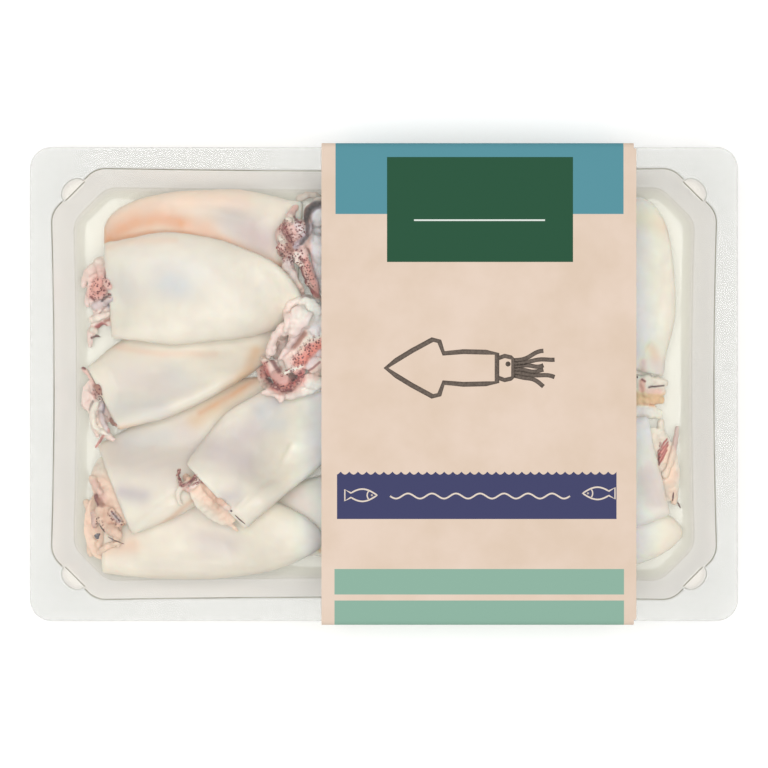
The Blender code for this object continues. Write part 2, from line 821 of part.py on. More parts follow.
def lay_loose_head(head, pile, parts, arm_flesh):
    rest = pile.softened(DRAPE_REACH)
    core, root_z = loose_core(head.name, head, pile, rest)
    limbs, routes = [], []
    for arm in head.arms:
        points, radii = arm_route(arm, arm.start, pile, rest, root_z)
        limbs.append(arm_mesh(head.name + " arm", points, radii))
        routes.append((points, radii))
    fuse(head.name, core, limbs, parts, arm_flesh)
    pile.raise_disc(*head.core, max(head.core_size), root_z + head.core_size[2])
    stamp_arms(routes, pile)


def stamp_arms(routes, pile):
    for points, radii in routes:
        for (x, y, z), radius in zip(points, radii):
            pile.raise_disc(x, y, radius + PILE_STEP, z + radius)


def main():
    clear_scene()
    parts = new_collection("squid tray")
    clear = make_material("clear tray plastic", (0.86, 0.89, 0.85), 0.08, 0.35)
    lid = make_material("clear lidding film", (0.92, 0.94, 0.92), 0.05, 0.15)
    card = make_material("printed sleeve card", (0.77, 0.63, 0.53), 0.65)
    flesh = make_material("squid mantle flesh", (0.82, 0.78, 0.70), 0.30)
    arm_flesh = make_material("squid arm flesh", (0.66, 0.37, 0.33), 0.32)
    build_tray(parts, clear)
    build_film(parts, lid)
    build_sleeve(parts, card)
    pile = Pile()
    for item in SQUIDS_AND_HEADS:
        if isinstance(item, Squid):
            lay_squid(item, pile, parts, flesh, arm_flesh)
        else:
            lay_loose_head(item, pile, parts, arm_flesh)


main()
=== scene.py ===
"""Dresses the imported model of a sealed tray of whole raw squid.

Metres, +Z up, in the frame of the CAD. Places marked as pixels are read from the photograph,
which is 768 pixels square and looks straight down, and are dropped along the line of sight onto
the flesh that lies there.
"""

import json
import math

import bmesh
import bpy
import numpy as np
from bpy.props import FloatProperty, FloatVectorProperty, IntProperty, PointerProperty
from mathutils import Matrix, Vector
from mathutils.bvhtree import BVHTree

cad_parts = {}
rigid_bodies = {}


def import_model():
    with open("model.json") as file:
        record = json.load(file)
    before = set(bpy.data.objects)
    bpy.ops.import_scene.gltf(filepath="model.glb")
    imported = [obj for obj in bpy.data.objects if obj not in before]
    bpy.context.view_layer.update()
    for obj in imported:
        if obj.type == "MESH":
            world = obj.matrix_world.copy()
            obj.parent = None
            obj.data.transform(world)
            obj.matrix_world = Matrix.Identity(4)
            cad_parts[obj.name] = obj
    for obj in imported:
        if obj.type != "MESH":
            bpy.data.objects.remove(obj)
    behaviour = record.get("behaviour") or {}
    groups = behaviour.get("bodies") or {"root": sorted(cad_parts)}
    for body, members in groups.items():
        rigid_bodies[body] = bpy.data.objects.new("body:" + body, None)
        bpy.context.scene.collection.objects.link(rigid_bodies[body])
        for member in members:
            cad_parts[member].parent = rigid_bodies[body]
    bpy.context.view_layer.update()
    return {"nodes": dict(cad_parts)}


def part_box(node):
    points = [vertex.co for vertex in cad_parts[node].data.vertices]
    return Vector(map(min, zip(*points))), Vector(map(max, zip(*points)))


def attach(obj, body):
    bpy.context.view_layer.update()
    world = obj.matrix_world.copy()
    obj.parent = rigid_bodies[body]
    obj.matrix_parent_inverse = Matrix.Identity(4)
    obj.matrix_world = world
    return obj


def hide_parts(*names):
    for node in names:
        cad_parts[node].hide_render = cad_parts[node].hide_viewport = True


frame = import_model()

bl_info = {
    "name": "Squid Tray Maker",
    "version": (1, 0, 0),
    "blender": (4, 5, 0),
    "location": "View3D > Sidebar > Squid Tray",
    "description": "Makes a sealed retail tray of whole raw squid in a card sleeve",
    "category": "Add Mesh",
}

BODY = "root"

# Sizes shared with the CAD source
TRAY_LENGTH = 0.230
TRAY_WIDTH = 0.154
FLANGE_RADIUS = 0.007
FLANGE_WIDTH = 0.007
MOUTH_CUT = 0.0142
MOUTH_RADIUS = 0.008
WALL_DRAFT = 0.0045
BASE_CUT = 0.0110
BASE_FILLET = 0.0042
SIDE_BOW = 0.0008
LUG_LENGTH = 0.0090
LUG_REACH = 0.0032
LUG_DEPTH = 0.0065
FILM_INSET = 0.0010
CARD = 0.0005
GAP = 0.0003
SLEEVE_LEFT = -0.0203
SLEEVE_RIGHT = 0.0811
SLEEVE_FACE_LIP = 0.0008
SLEEVE_TOP_HALF = 0.0788
SLEEVE_BASE_HALF = 0.0674
SLEEVE_FOLD = 0.0016
LAP_OUTER_END = -0.050
LAP_INNER_END = -0.020
BASE_Z = 2 * (CARD + GAP)
FLANGE_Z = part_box("tray")[1].z
FOOT_LINE = BASE_Z + BASE_FILLET
FILM_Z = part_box("film")[0].z
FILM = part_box("film")[1].z - FILM_Z
SLEEVE_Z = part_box("sleeve")[1].z
EIGHTH_TURN_CUT = 2 - math.sqrt(2)

# The photograph's camera: straight down, from this far above the flange
CAMERA_ABOVE = 1.2
PIXEL = 0.0003249
IMAGE = 768
CAMERA_PLACE = Vector((0.0, 0.0, FLANGE_Z + CAMERA_ABOVE))

# Fineness of the meshes
CORNER_STEPS = 8
SIDE_STEPS = 8
FILLET_STEPS = 9
LIP_STEPS = 4
LUG_STEPS = 20
FOLD_STEPS = 8
CARD_STEPS = 20
WELD = 1e-6

# Bends sharper than this many degrees stay crisp
TRAY_SHARP = 10.5
FOLD_SHARP = 40
FILM_SHARP = 60

# Lines on the clear tray: the crease at its foot, and dark rods along its rolled edges, painted
# shade where the bends turn the light aside
FOOT_CREASE = 0.00012
LIP_SHADE_RADIUS = 0.00018
LIP_DROP = 0.00022
ROD_STEP = 0.0015

# Flesh: its slack folds, how it swells where it touches a neighbour and how much shade is painted
# into the crease there, the wrinkles in the skin as height, length and seed, and how high a strand
# may stand
FOLD_LENGTH = 0.030
FINE_FOLD_LENGTH = 0.007
FINE_FOLD_SHARE = 0.22
MANTLE_SMOOTHING = 8
HEAD_SMOOTHING = 5
CONTACT_REACH = 0.0011
CONTACT_SWELL = 0.00018
CONTACT_PAINTED_SHADE = 0.55
WRINKLES = ((0.00016, 0.0032, 100), (0.00022, 0.009, 150))
STRAND_HEIGHT = 0.0014
STRAND_FLATTEST = 0.45
EYE_HALVES = (0.0012, 0.0009, 0.0004)
RIM_SHARE = 0.42

# The studio: softboxes as name, place, side and power, and how the room and the table glow
SOFTBOXES = (
    ("overhead softbox", (0.0, 0.0, 1.6), 0.9, 18.3),
    ("side softbox", (-1.1, -0.9, 1.3), 0.9, 2.0),
)
ROOM_LIGHT = 0.34
TABLE_GLOW = 0.20
TABLE_SIZE = 4.0
TABLE_Z = -0.00005
SENSOR = 36.0

# Painted light: flesh is made paler beside the sleeve, within some pixels of the columns of its two
# edges, to make up for the shadow that the sleeve casts there
SLEEVE_COLUMNS = (323, 635)
SLEEVE_PAINTED_LIGHT = 0.42
SLEEVE_PAINTED_LIGHT_REACH = 30

# Pixels on the card: a point of the band's scalloped edge, the two fish as nose, row and way,
# which face each other, and the squid figure with its eye
SCALLOP_PEAK = 340.7
FISH = ((377.2, 495.2, -1), (582.6, 493.3, 1))
FISH_LENGTH = 32.4
FIGURE_TIP = (386, 368)
FIGURE_LENGTH = 172
FIGURE_EYE = (508, 364, 1.3)

# The pixel of the eye that shows
EYE_PIXEL = (97, 536)

TINTS = {
    "cream": "EDE6D6",
    "bright": "F4EEDF",
    "pale": "E9E6DF",
    "bone": "E2DACB",
    "peach": "ECC3A6",
    "apricot": "F0D6C0",
    "tan": "DDB98C",
    "crease_shade": "DCA072",
    "lilac": "D3C6C6",
    "bluish": "CDD2D6",
    "mauve": "B7AEB8",
    "grey": "C4BFB4",
    "shell": "F0DCD2",
    "pink": "E3BDB1",
    "rose": "CF9389",
    "fawn": "D9B49C",
    "dusk": "CDB1AB",
    "coral": "DE9080",
    "brick": "CF7F70",
    "liver": "A2705F",
    "red": "A13A3A",
    "maroon": "6F2C2E",
    "ink": "160E12",
    "orange": "E8A97C",
    # The veil tint is paler than the membrane's own blue-grey: painted light against the sleeve's
    # shadow
    "veil": "DFDEE8",
    "slate": "6D6B74",
}

# Washes of colour on each mantle: tint, reach in pixels, strength, and a path of pixels; the
# crease_shade strokes are painted shade where mantles meet
MANTLE_WASHES = {
    # Along its lower edge, under the front-left mantle, the orange and crease_shade lines and the
    # thin peach line are painted contact shade
    "mantle_far_left": [
        ("apricot", 13, 0.8, [(110, 222), (140, 205), (190, 199), (240, 202)]),
        ("lilac", 17, 0.8, [(232, 222), (262, 240)]),
        ("dusk", 12, 0.35, [(248, 232), (264, 243)]),
        ("grey", 9, 0.45, [(212, 217), (238, 218)]),
        ("peach", 11, 0.98, [(110, 234), (135, 221), (155, 217), (180, 222), (205, 229)]),
        ("peach", 5, 0.9, [(205, 231), (230, 243), (260, 259), (285, 268)]),
        ("crease_shade", 4.0, 0.7, [(215, 241), (240, 253), (262, 262), (284, 271)]),
        ("orange", 6.0, 0.6, [(112, 236), (135, 224), (160, 219), (180, 223)]),
        ("orange", 3.5, 0.8, [(106, 241), (150, 233), (190, 234), (215, 243), (240, 254)]),
        ("orange", 3.5, 0.9, [(240, 254), (262, 262), (284, 271)]),
    ],
    "mantle_front_left": [
        ("bluish", 17, 0.85, [(168, 282), (178, 284)]),
        ("bluish", 13, 0.45, [(122, 282), (128, 292)]),
        ("pale", 22, 0.5, [(130, 262), (205, 270)]),
        ("bright", 16, 0.8, [(150, 325), (205, 328), (250, 318)]),
        ("bright", 18, 0.4, [(225, 285), (265, 300)]),
        ("apricot", 4, 0.6, [(108, 247), (130, 241), (175, 240)]),
        ("peach", 3, 0.4, [(170, 350), (215, 352), (255, 344)]),
    ],
    "mantle_left": [
        ("bone", 18, 0.6, [(110, 352), (150, 358)]),
        ("lilac", 16, 0.45, [(128, 378), (165, 385)]),
        ("bluish", 13, 0.45, [(120, 408), (158, 408)]),
        ("bluish", 12, 0.35, [(172, 372), (185, 382)]),
        ("cream", 16, 0.5, [(205, 372), (240, 366)]),
        ("tan", 7, 0.6, [(228, 392), (256, 374)]),
        ("crease_shade", 3, 0.5, [(118, 429), (160, 423), (200, 408), (232, 392)]),
        ("tan", 7, 0.8, [(256, 352), (248, 372), (232, 390)]),
        ("peach", 4, 0.4, [(110, 346), (160, 354), (215, 354)]),
    ],
    "mantle_mid_left": [
        ("lilac", 20, 0.4, [(120, 455), (170, 468)]),
        ("bluish", 12, 0.5, [(128, 440), (165, 436)]),
        ("mauve", 9, 0.6, [(122, 492), (142, 496)]),
        ("lilac", 14, 0.5, [(185, 430), (198, 455)]),
        ("cream", 9, 0.9, [(134, 534), (165, 510), (196, 494)]),
        ("tan", 9, 0.6, [(196, 420), (222, 402), (256, 376)]),
        ("crease_shade", 3, 0.5, [(200, 413), (230, 396), (258, 378)]),
        ("crease_shade", 2.6, 0.5, [(138, 541), (165, 522), (200, 494)]),
    ],
    "mantle_near_left": [
        ("cream", 18, 0.7, [(150, 556), (250, 560)]),
        ("lilac", 14, 0.55, [(205, 540), (226, 546)]),
        ("peach", 9, 0.6, [(106, 549), (132, 546)]),
        ("lilac", 9, 0.3, [(176, 520), (200, 508)]),
        ("grey", 14, 0.3, [(160, 572), (260, 574)]),
    ],
    "mantle_front_mid": [
        ("lilac", 17, 0.75, [(215, 450), (243, 462)]),
        ("lilac", 14, 0.7, [(240, 436), (254, 430)]),
        ("bluish", 11, 0.75, [(262, 410), (274, 404)]),
        ("bluish", 9, 0.5, [(270, 424), (282, 424)]),
        ("mauve", 8, 0.5, [(226, 498), (236, 496)]),
        ("cream", 15, 0.95, [(262, 500), (290, 478), (318, 455)]),
        ("cream", 12, 0.6, [(296, 430), (318, 410)]),
        ("grey", 4, 0.4, [(180, 462), (192, 442), (212, 420)]),
        ("crease_shade", 2.5, 0.45, [(188, 446), (206, 424), (226, 406)]),
    ],
    "mantle_mid_low": [
        ("lilac", 20, 0.6, [(300, 500), (318, 525)]),
        ("crease_shade", 3, 0.75, [(278, 508), (300, 528), (320, 551)]),
        ("bone", 14, 0.4, [(270, 555), (315, 565)]),
    ],
    "mantle_far_mid": [
        ("veil", 40, 0.95, [(312, 215), (322, 275)]),
    ],
    "mantle_centre": [
        ("shell", 24, 0.9, [(318, 305), (318, 360)]),
        ("lilac", 14, 0.5, [(310, 395), (322, 395)]),
        ("rose", 9, 0.7, [(310, 384), (322, 366)]),
    ],
    "mantle_far_right": [
        ("apricot", 12, 0.85, [(642, 218), (660, 226)]),
        ("bone", 16, 0.5, [(645, 262), (668, 300)]),
        ("peach", 6, 0.8, [(651, 348), (655, 358)]),
        ("dusk", 4, 0.85, [(643, 362), (643, 380)]),
        ("lilac", 9, 0.6, [(655, 366), (662, 376)]),
        ("bright", 9, 0.5, [(672, 250), (676, 330)]),
    ],
    "mantle_near_right": [
        ("bright", 14, 0.95, [(640, 420), (662, 414)]),
        ("lilac", 17, 0.75, [(648, 480), (656, 500)]),
        ("mauve", 10, 0.3, [(644, 455), (650, 470)]),
        ("pale", 14, 0.6, [(645, 538), (668, 528)]),
        ("peach", 5, 0.5, [(668, 495), (680, 510)]),
        ("tan", 2.2, 0.6, [(659, 464), (664, 476), (670, 484)]),
    ],
    "mantle_right_low": [
        ("bone", 16, 0.5, [(645, 558), (665, 552)]),
    ],
}

# Folds pressed into a mantle: width in pixels, depth in metres, and a path of pixels
MANTLE_FOLDS = {
    "mantle_front_mid": [
        (3.5, 0.0007, [(238, 506), (256, 490), (272, 476), (284, 462), (292, 446)]),
        (10, 0.0006, [(262, 412), (240, 440)]),
        (7, -0.0005, [(262, 500), (290, 478), (312, 452)]),
    ],
    "mantle_front_left": [
        (22, 0.0008, [(165, 282), (190, 286)]),
        (9, 0.0004, [(118, 268), (122, 300)]),
        (6, 0.0003, [(255, 262), (275, 285), (284, 310)]),
    ],
    "mantle_left": [
        (12, 0.0006, [(125, 392), (165, 396), (200, 382)]),
        (4, 0.0003, [(96, 352), (112, 372), (118, 398)]),
    ],
    "mantle_mid_left": [
        (14, 0.0007, [(125, 492), (150, 488)]),
        (4, 0.0004, [(132, 528), (160, 506), (190, 488)]),
    ],
    "mantle_near_left": [
        (12, 0.0006, [(190, 545), (225, 545)]),
        (5, 0.0003, [(135, 562), (180, 566), (240, 570)]),
    ],
    "mantle_far_left": [
        (7, 0.0005, [(170, 212), (215, 212), (255, 222)]),
        (10, 0.0005, [(232, 230), (262, 244)]),
    ],
    "mantle_far_right": [
        (6, 0.0005, [(655, 330), (662, 300), (668, 260)]),
        (2.5, 0.0005, [(650, 345), (646, 352), (641, 365), (638, 376)]),
    ],
    "mantle_near_right": [
        (9, 0.0006, [(640, 468), (652, 500)]),
        (4, 0.0004, [(648, 430), (655, 455), (668, 480)]),
    ],
}

# Arms and flaps of each head beside those in the CAD: radius in metres, how far it stands clear
# of what it lies on, and a path of pixels
HEAD_STRANDS = {
    "head_far_left": [
        (0.0030, 0.0, [(317, 210), (317, 235), (318, 262), (321, 288)]),
        (0.0017, 0.0006, [(330, 197), (320, 202), (313, 206), (308, 211), (306, 217)]),
        (0.0009, 0.0006, [(307, 217), (309, 226), (308, 233), (303, 240), (296, 245)]),
        (0.0011, 0.0, [(287, 219), (292, 219)]),
        (0.0010, 0.0, [(287, 226), (293, 229), (296, 234)]),
        (0.0019, 0.0, [(297, 225), (301, 232)]),
        (0.0010, 0.0, [(282, 226), (286, 233), (291, 241)]),
        (0.0010, 0.0, [(280, 238), (284, 241)]),
        (0.0014, 0.0, [(281, 247), (281, 255)]),
        (0.0013, 0.0, [(284, 259), (289, 262)]),
        (0.0014, 0.0, [(296, 252), (298, 263)]),
        (0.0015, 0.0008, [(303, 250), (306, 261), (311, 273), (315, 286), (318, 296)]),
        (0.0019, 0.0004, [(286, 266), (290, 273), (296, 283), (302, 291)]),
        (0.0013, 0.0, [(299, 199), (308, 195), (320, 197)]),
    ],
    "head_front_left": [
        (0.0019, 0.0, [(97, 262), (101, 262)]),
        (0.0017, 0.0, [(100, 268), (102, 276)]),
        (0.0020, 0.0, [(100, 281), (96, 290)]),
        (0.0013, 0.0, [(106, 281), (110, 288)]),
        (0.0006, 0.0, [(91, 297), (94, 300)]),
        (0.0006, 0.0, [(102, 301), (106, 296), (111, 294)]),
        (0.0016, 0.0004, [(95, 306), (103, 303), (111, 299)]),
        (0.0005, 0.0010, [(91, 317), (98, 312), (106, 306)]),
        (0.0013, 0.0006, [(92, 320), (101, 317), (110, 313)]),
        (0.0012, 0.0, [(92, 330), (97, 331)]),
        (0.0005, 0.0, [(92, 338), (96, 336), (101, 337)]),
    ],
    "head_left": [
        (0.0006, 0.0, [(83, 368), (88, 374), (92, 380), (96, 386)]),
        (0.0012, 0.0, [(97, 386), (101, 395)]),
        (0.0009, 0.0, [(94, 396), (92, 402)]),
        (0.0012, 0.0010, [(101, 399), (95, 406), (92.5, 416), (94, 425), (100, 431), (107, 434)]),
        (0.0010, 0.0002, [(102, 403), (101, 414), (104, 424), (109, 431)]),
        (0.0010, 0.0, [(112, 421), (116, 425)]),
        (0.0006, 0.0, [(103, 436), (99, 442), (96, 447)]),
    ],
    "head_mid_left": [
        (0.0014, 0.0, [(92, 478), (96, 486), (101, 494)]),
        (0.0010, 0.0, [(96, 496), (98, 504)]),
        (0.0021, 0.0, [(101, 508), (104, 522), (108, 532)]),
        (0.0013, 0.0, [(94, 512), (95, 526)]),
        (0.0013, 0.0, [(111, 511), (117, 518), (122, 524)]),
        (0.0019, 0.0, [(110, 528), (120, 536)]),
    ],
    "head_front_mid": [
        (0.0007, 0.0008, [(179, 470), (178, 476), (180, 482), (183, 486), (189, 484), (197, 475)]),
        (0.0013, 0.0, [(185, 476), (189, 480)]),
        (0.0009, 0.0, [(186, 490), (192, 488), (198, 484)]),
        (0.0010, 0.0, [(203, 483), (208, 489), (214, 495)]),
        (0.0013, 0.0, [(206, 488), (214, 496), (222, 503), (229, 509)]),
    ],
    "head_far_right": [
        (0.0012, 0.0004, [(640, 384), (650, 380), (660, 381)]),
        (0.0024, 0.0, [(638, 398), (650, 398), (662, 400)]),
        (0.0026, 0.0, [(636, 411), (648, 411), (660, 414)]),
        (0.0024, 0.0, [(638, 390), (650, 390), (663, 392)]),
        (0.0024, 0.0, [(638, 382), (650, 382), (664, 384)]),
    ],
    "head_near_right": [
        (0.0004, 0.0004, [(658, 451), (662, 446), (667, 439)]),
        (0.0004, 0.0004, [(658, 455), (662.5, 449), (668, 442)]),
        (0.0004, 0.0004, [(658.5, 460), (663, 453), (668, 445)]),
        (0.0004, 0.0004, [(659, 465), (663, 457), (667, 450)]),
        (0.0012, 0.0, [(664, 476), (670, 464), (674, 450), (676, 436), (677, 427)]),
    ],
    "head_near_left": [
        (0.0012, 0.0, [(100, 552), (108, 546), (118, 543)]),
    ],
    "head_centre": [
        (0.0015, 0.0008, [
            (318, 303), (306, 300), (294, 302), (288, 310), (288, 320), (286, 330), (273, 349),
        ]),
        (0.0030, 0.0, [(300, 311), (297, 324), (292, 334)]),
        (0.0030, 0.0, [(286, 346), (276, 356)]),
        (0.0030, 0.0022, [(286, 334), (281, 345), (276, 356)]),
        (0.0020, 0.0006, [(262, 366), (263, 377), (271, 388)]),
        (0.0024, 0.0, [(296, 370), (304, 366)]),
        (0.0028, 0.0, [(312, 366), (322, 362)]),
        (0.0026, 0.0, [(270, 366), (274, 376)]),
        (0.0028, 0.0, [(310, 380), (321, 384)]),
        (0.0026, 0.0, [(303, 305), (311, 306), (319, 312)]),
        (0.0013, 0.0006, [(311, 314), (304, 324), (298, 333), (291, 344), (284, 353), (279, 360)]),
        (0.0022, 0.0, [(315, 331), (320, 336)]),
        (0.0026, 0.0005, [(324, 340), (316, 344), (306, 352), (297, 363)]),
        (0.0010, 0.0, [(322, 352), (314, 360), (306, 367)]),
        (0.0016, 0.0, [(270, 352), (276, 350)]),
        (0.0013, 0.0, [(264, 360), (267, 364)]),
        (0.0014, 0.0008, [
            (264, 364), (264, 376), (270, 386), (280, 390), (290, 388), (297, 382), (302, 375),
        ]),
        (0.0007, 0.0, [(261, 383), (270, 390), (282, 393), (290, 391)]),
        (0.0022, 0.0, [(276, 376), (286, 382), (294, 376)]),
        (0.0006, 0.0012, [(283, 374), (290, 371), (297, 368), (302, 366)]),
        (0.0010, 0.0, [(281, 362), (284, 369)]),
    ],
}

# Paint on each head: tint, reach in pixels, strength, and a path of pixels, over a base tint; the
# crease_shade strokes are painted shade in gaps between strands
HEAD_BASES = {
    "head_far_left": "pink",
    "head_front_left": "shell",
    "head_left": "shell",
    "head_mid_left": "apricot",
    "head_front_mid": "apricot",
    "head_far_right": "bone",
    "head_near_right": "bone",
    "head_near_left": "apricot",
    "head_centre": "shell",
}
HEAD_PAINT = {
    "head_far_left": [
        ("dusk", 14, 0.8, [(290, 225), (294, 255)]),
        ("veil", 6, 0.97, [(317, 205), (317, 235), (318, 262), (322, 290)]),
        ("bone", 6, 0.95, [(287, 267), (291, 274), (297, 284), (303, 291)]),
        ("lilac", 5, 0.6, [(288, 268), (293, 278)]),
        ("pink", 4, 0.8, [(297, 288), (306, 296)]),
        ("lilac", 4.5, 0.8, [(284, 259), (290, 262)]),
        ("shell", 5, 0.95, [(296, 256), (299, 264)]),
        ("bone", 4, 0.95, [(287, 219), (293, 219)]),
        ("shell", 4, 0.9, [(287, 227), (293, 229)]),
        ("lilac", 5, 0.9, [(298, 226), (302, 232)]),
        ("bone", 3.5, 0.95, [(280, 238), (285, 241)]),
        ("pink", 4, 0.9, [(280, 247), (282, 256)]),
        ("liver", 2.6, 0.7, [(294, 243), (300, 238)]),
        ("liver", 4, 0.7, [(283, 224), (288, 236), (290, 250), (284, 256)]),
        ("maroon", 3, 0.8, [(282, 226), (286, 233), (292, 242)]),
        ("liver", 4, 0.85, [(290, 247), (296, 247)]),
        ("rose", 3.5, 0.9, [(306, 260), (310, 271), (315, 284), (318, 294)]),
        ("maroon", 1.6, 0.8, [(300, 258), (304, 262)]),
        ("maroon", 1.8, 0.85, [(301, 268), (303, 276), (306, 282)]),
        ("maroon", 1.4, 0.8, [(309, 286), (313, 293)]),
        ("red", 2.2, 0.7, [(312, 292), (318, 296)]),
        ("mauve", 3.5, 0.85, [(309, 226), (308, 233), (302, 241), (296, 246)]),
        ("ink", 5, 0.98, [(330, 197), (320, 202), (313, 206), (308, 211), (306, 218)]),
        ("ink", 2.2, 0.85, [(306, 218), (308, 226), (307, 236), (301, 243)]),
        ("maroon", 1.3, 0.8, [(294, 217), (298, 222), (301, 222)]),
        ("grey", 5, 0.9, [(299, 199), (308, 195), (320, 196)]),
        ("rose", 4, 0.5, [(288, 226), (295, 231)]),
    ],
    "head_front_left": [
        ("bone", 7, 0.6, [(96, 262), (103, 262)]),
        ("pink", 6, 0.8, [(98, 270), (103, 274)]),
        ("coral", 8, 0.75, [(98, 284), (95, 293), (100, 290)]),
        ("rose", 3, 0.6, [(107, 280), (110, 286)]),
        ("lilac", 5, 0.9, [(95, 306), (104, 303)]),
        ("mauve", 4, 0.9, [(110, 305), (113, 301)]),
        ("maroon", 1.4, 0.9, [(91, 297), (94, 300)]),
        ("ink", 1.3, 0.8, [(102, 301), (106, 297), (111, 295)]),
        ("bright", 4, 0.6, [(93, 321), (102, 317), (110, 313)]),
        ("red", 2.6, 0.9, [(97, 327), (102, 324), (105, 326)]),
        ("liver", 2, 0.85, [(105, 321), (110, 319)]),
        ("bone", 3, 0.8, [(92, 330), (98, 332)]),
        ("ink", 1.5, 0.85, [(92, 338), (96, 336), (101, 337)]),
    ],
    "head_left": [
        ("pink", 3, 0.8, [(83, 368), (90, 377), (95, 385)]),
        ("maroon", 1.2, 0.9, [(83, 368), (85, 369)]),
        ("liver", 4.5, 0.95, [(97, 386), (102, 395)]),
        ("rose", 2.5, 0.7, [(94, 393), (96, 398)]),
        ("ink", 1.2, 0.7, [(93, 401), (91, 405), (90, 410)]),
        ("bright", 4, 0.95, [(101, 399), (95, 406), (92.5, 416), (94, 425), (107, 434)]),
        ("lilac", 3, 0.9, [(102, 403), (101, 414), (104, 424), (109, 431)]),
        ("mauve", 1.8, 0.9, [(103.5, 405), (103.5, 411)]),
        ("liver", 4, 0.95, [(112, 421), (116, 426)]),
        ("rose", 3, 0.85, [(110, 430), (117, 431)]),
        ("rose", 1.8, 0.9, [(103, 436), (99, 442), (96, 447)]),
        ("maroon", 1.2, 0.6, [(102, 438), (100, 443)]),
    ],
    "head_mid_left": [
        ("fawn", 9, 0.7, [(106, 506), (110, 522), (118, 530)]),
        ("bone", 14, 0.95, [(84, 462), (104, 462)]),
        ("bone", 5, 0.9, [(84, 478), (84, 545)]),
        ("pink", 4.5, 0.7, [(93, 482), (98, 489), (103, 497)]),
        ("maroon", 2.8, 0.95, [(96, 496), (97, 504)]),
        ("liver", 3, 0.8, [(100, 500), (102, 505)]),
        ("dusk", 4, 0.8, [(91, 514), (92, 530)]),
        ("mauve", 3, 0.6, [(113, 514), (119, 521)]),
        ("ink", 1.1, 0.8, [(112, 512), (116, 517), (120, 521)]),
        ("apricot", 5, 0.7, [(116, 536), (122, 540)]),
        ("ink", 1.1, 0.9, [(99, 524), (104, 532)]),
        ("crease_shade", 1.6, 0.8, [(124, 525), (126, 530)]),
        ("slate", 5, 0.85, [(95, 532), (100, 540)]),
    ],
    "head_front_mid": [
        ("cream", 9, 0.95, [(176, 492), (200, 512), (222, 532)]),
        ("fawn", 4, 0.8, [(185, 477), (190, 479)]),
        ("tan", 2, 0.6, [(190, 479), (193, 477)]),
        ("maroon", 1.9, 0.97, [(178.5, 471), (179.5, 479), (182, 485.5), (188, 484.5), (195, 477)]),
        ("shell", 2.6, 0.9, [(188, 489), (194, 486), (199, 481)]),
        ("pink", 2.4, 0.9, [(184, 489), (189, 491)]),
        ("liver", 2, 0.85, [(202, 482), (206, 486)]),
        ("fawn", 4, 0.8, [(205, 488), (213, 496), (222, 503)]),
        ("rose", 2.6, 0.5, [(228, 499), (234, 501)]),
        ("shell", 3, 0.6, [(224, 508), (230, 510)]),
    ],
    "head_far_right": [
        ("tan", 7.5, 0.95, [(638, 398), (650, 398), (664, 400)]),
        ("cream", 6, 0.97, [(636, 411), (652, 411), (664, 414)]),
        ("crease_shade", 1.8, 0.5, [(638, 404), (650, 404.5), (664, 405.5)]),
        ("pink", 3, 0.8, [(648, 391), (660, 391)]),
        ("coral", 3.5, 0.7, [(642, 382), (642, 389)]),
        ("maroon", 1.2, 0.9, [(642, 379.5), (645, 381.5)]),
        ("ink", 0.9, 0.8, [(649, 387.5), (653, 386.5), (664, 385.8)]),
    ],
    "head_near_right": [
        ("bone", 7, 0.8, [(658, 432), (668, 432)]),
        ("dusk", 4, 0.8, [(675, 424), (676, 448)]),
        ("apricot", 7, 0.85, [(669, 452), (670, 480)]),
        ("coral", 3.0, 0.8, [(660, 458), (664, 448)]),
        ("red", 0.9, 0.95, [(658, 451), (662, 446), (667, 439)]),
        ("red", 0.9, 0.95, [(658, 455), (662.5, 449), (668, 442)]),
        ("red", 0.9, 0.95, [(658.5, 460), (663, 453), (668, 445)]),
        ("red", 0.9, 0.95, [(659, 465), (663, 457), (667, 450)]),
        ("maroon", 1.2, 0.9, [(659, 464), (659, 456)]),
        ("apricot", 6, 0.8, [(673, 492), (677, 515)]),
    ],
    "head_near_left": [],
    "head_centre": [
        ("rose", 9, 0.85, [(276, 378), (288, 384), (298, 378)]),
        ("pink", 8, 0.8, [(314, 374), (320, 368)]),
        # The liver stroke here is painted shade in the gap between two arms
        ("liver", 3.5, 0.85, [(294, 346), (299, 340), (304, 334)]),
        ("crease_shade", 3, 0.7, [(264, 342), (268, 338)]),
        ("shell", 5, 0.9, [(318, 303), (306, 300), (294, 302), (288, 310), (288, 320), (286, 330)]),
        ("lilac", 3.5, 0.5, [(311, 314), (304, 324), (298, 333), (291, 344), (279, 360)]),
        ("bright", 7, 0.8, [(316, 331), (321, 336)]),
        ("brick", 8, 0.97, [(324, 344), (312, 351), (300, 362)]),
        ("apricot", 3.0, 0.35, [(300, 352), (306, 345)]),
        ("red", 2, 0.7, [(306, 348), (310, 345)]),
        ("lilac", 3.2, 0.9, [(321, 352), (314, 360), (309, 366)]),
        ("shell", 7, 0.9, [(284, 336), (281, 345), (278, 353)]),
        ("bone", 3, 0.8, [(264, 360), (267, 364)]),
        ("grey", 4, 0.85, [(281, 363), (285, 370)]),
        ("liver", 2.5, 0.7, [(281, 368), (279, 372)]),
        ("maroon", 2.4, 0.85, [(272, 361), (276, 367), (279, 371)]),
        ("brick", 5, 0.9, [(264, 366), (265, 377), (272, 386), (281, 390), (292, 386)]),
        ("red", 2.6, 0.75, [(266, 371), (270, 381), (278, 388)]),
        ("maroon", 2.2, 0.9, [(268, 378), (273, 386), (282, 391), (291, 390)]),
        ("red", 2.6, 0.75, [(291, 385), (297, 378), (302, 372)]),
        ("bright", 1.8, 0.9, [(283, 374), (290, 371), (297, 368), (302, 366)]),
        ("maroon", 1.2, 0.8, [(303, 369), (308, 371), (313, 368), (320, 362)]),
        ("bone", 2.5, 0.6, [(262, 380), (268, 386)]),
    ],
}

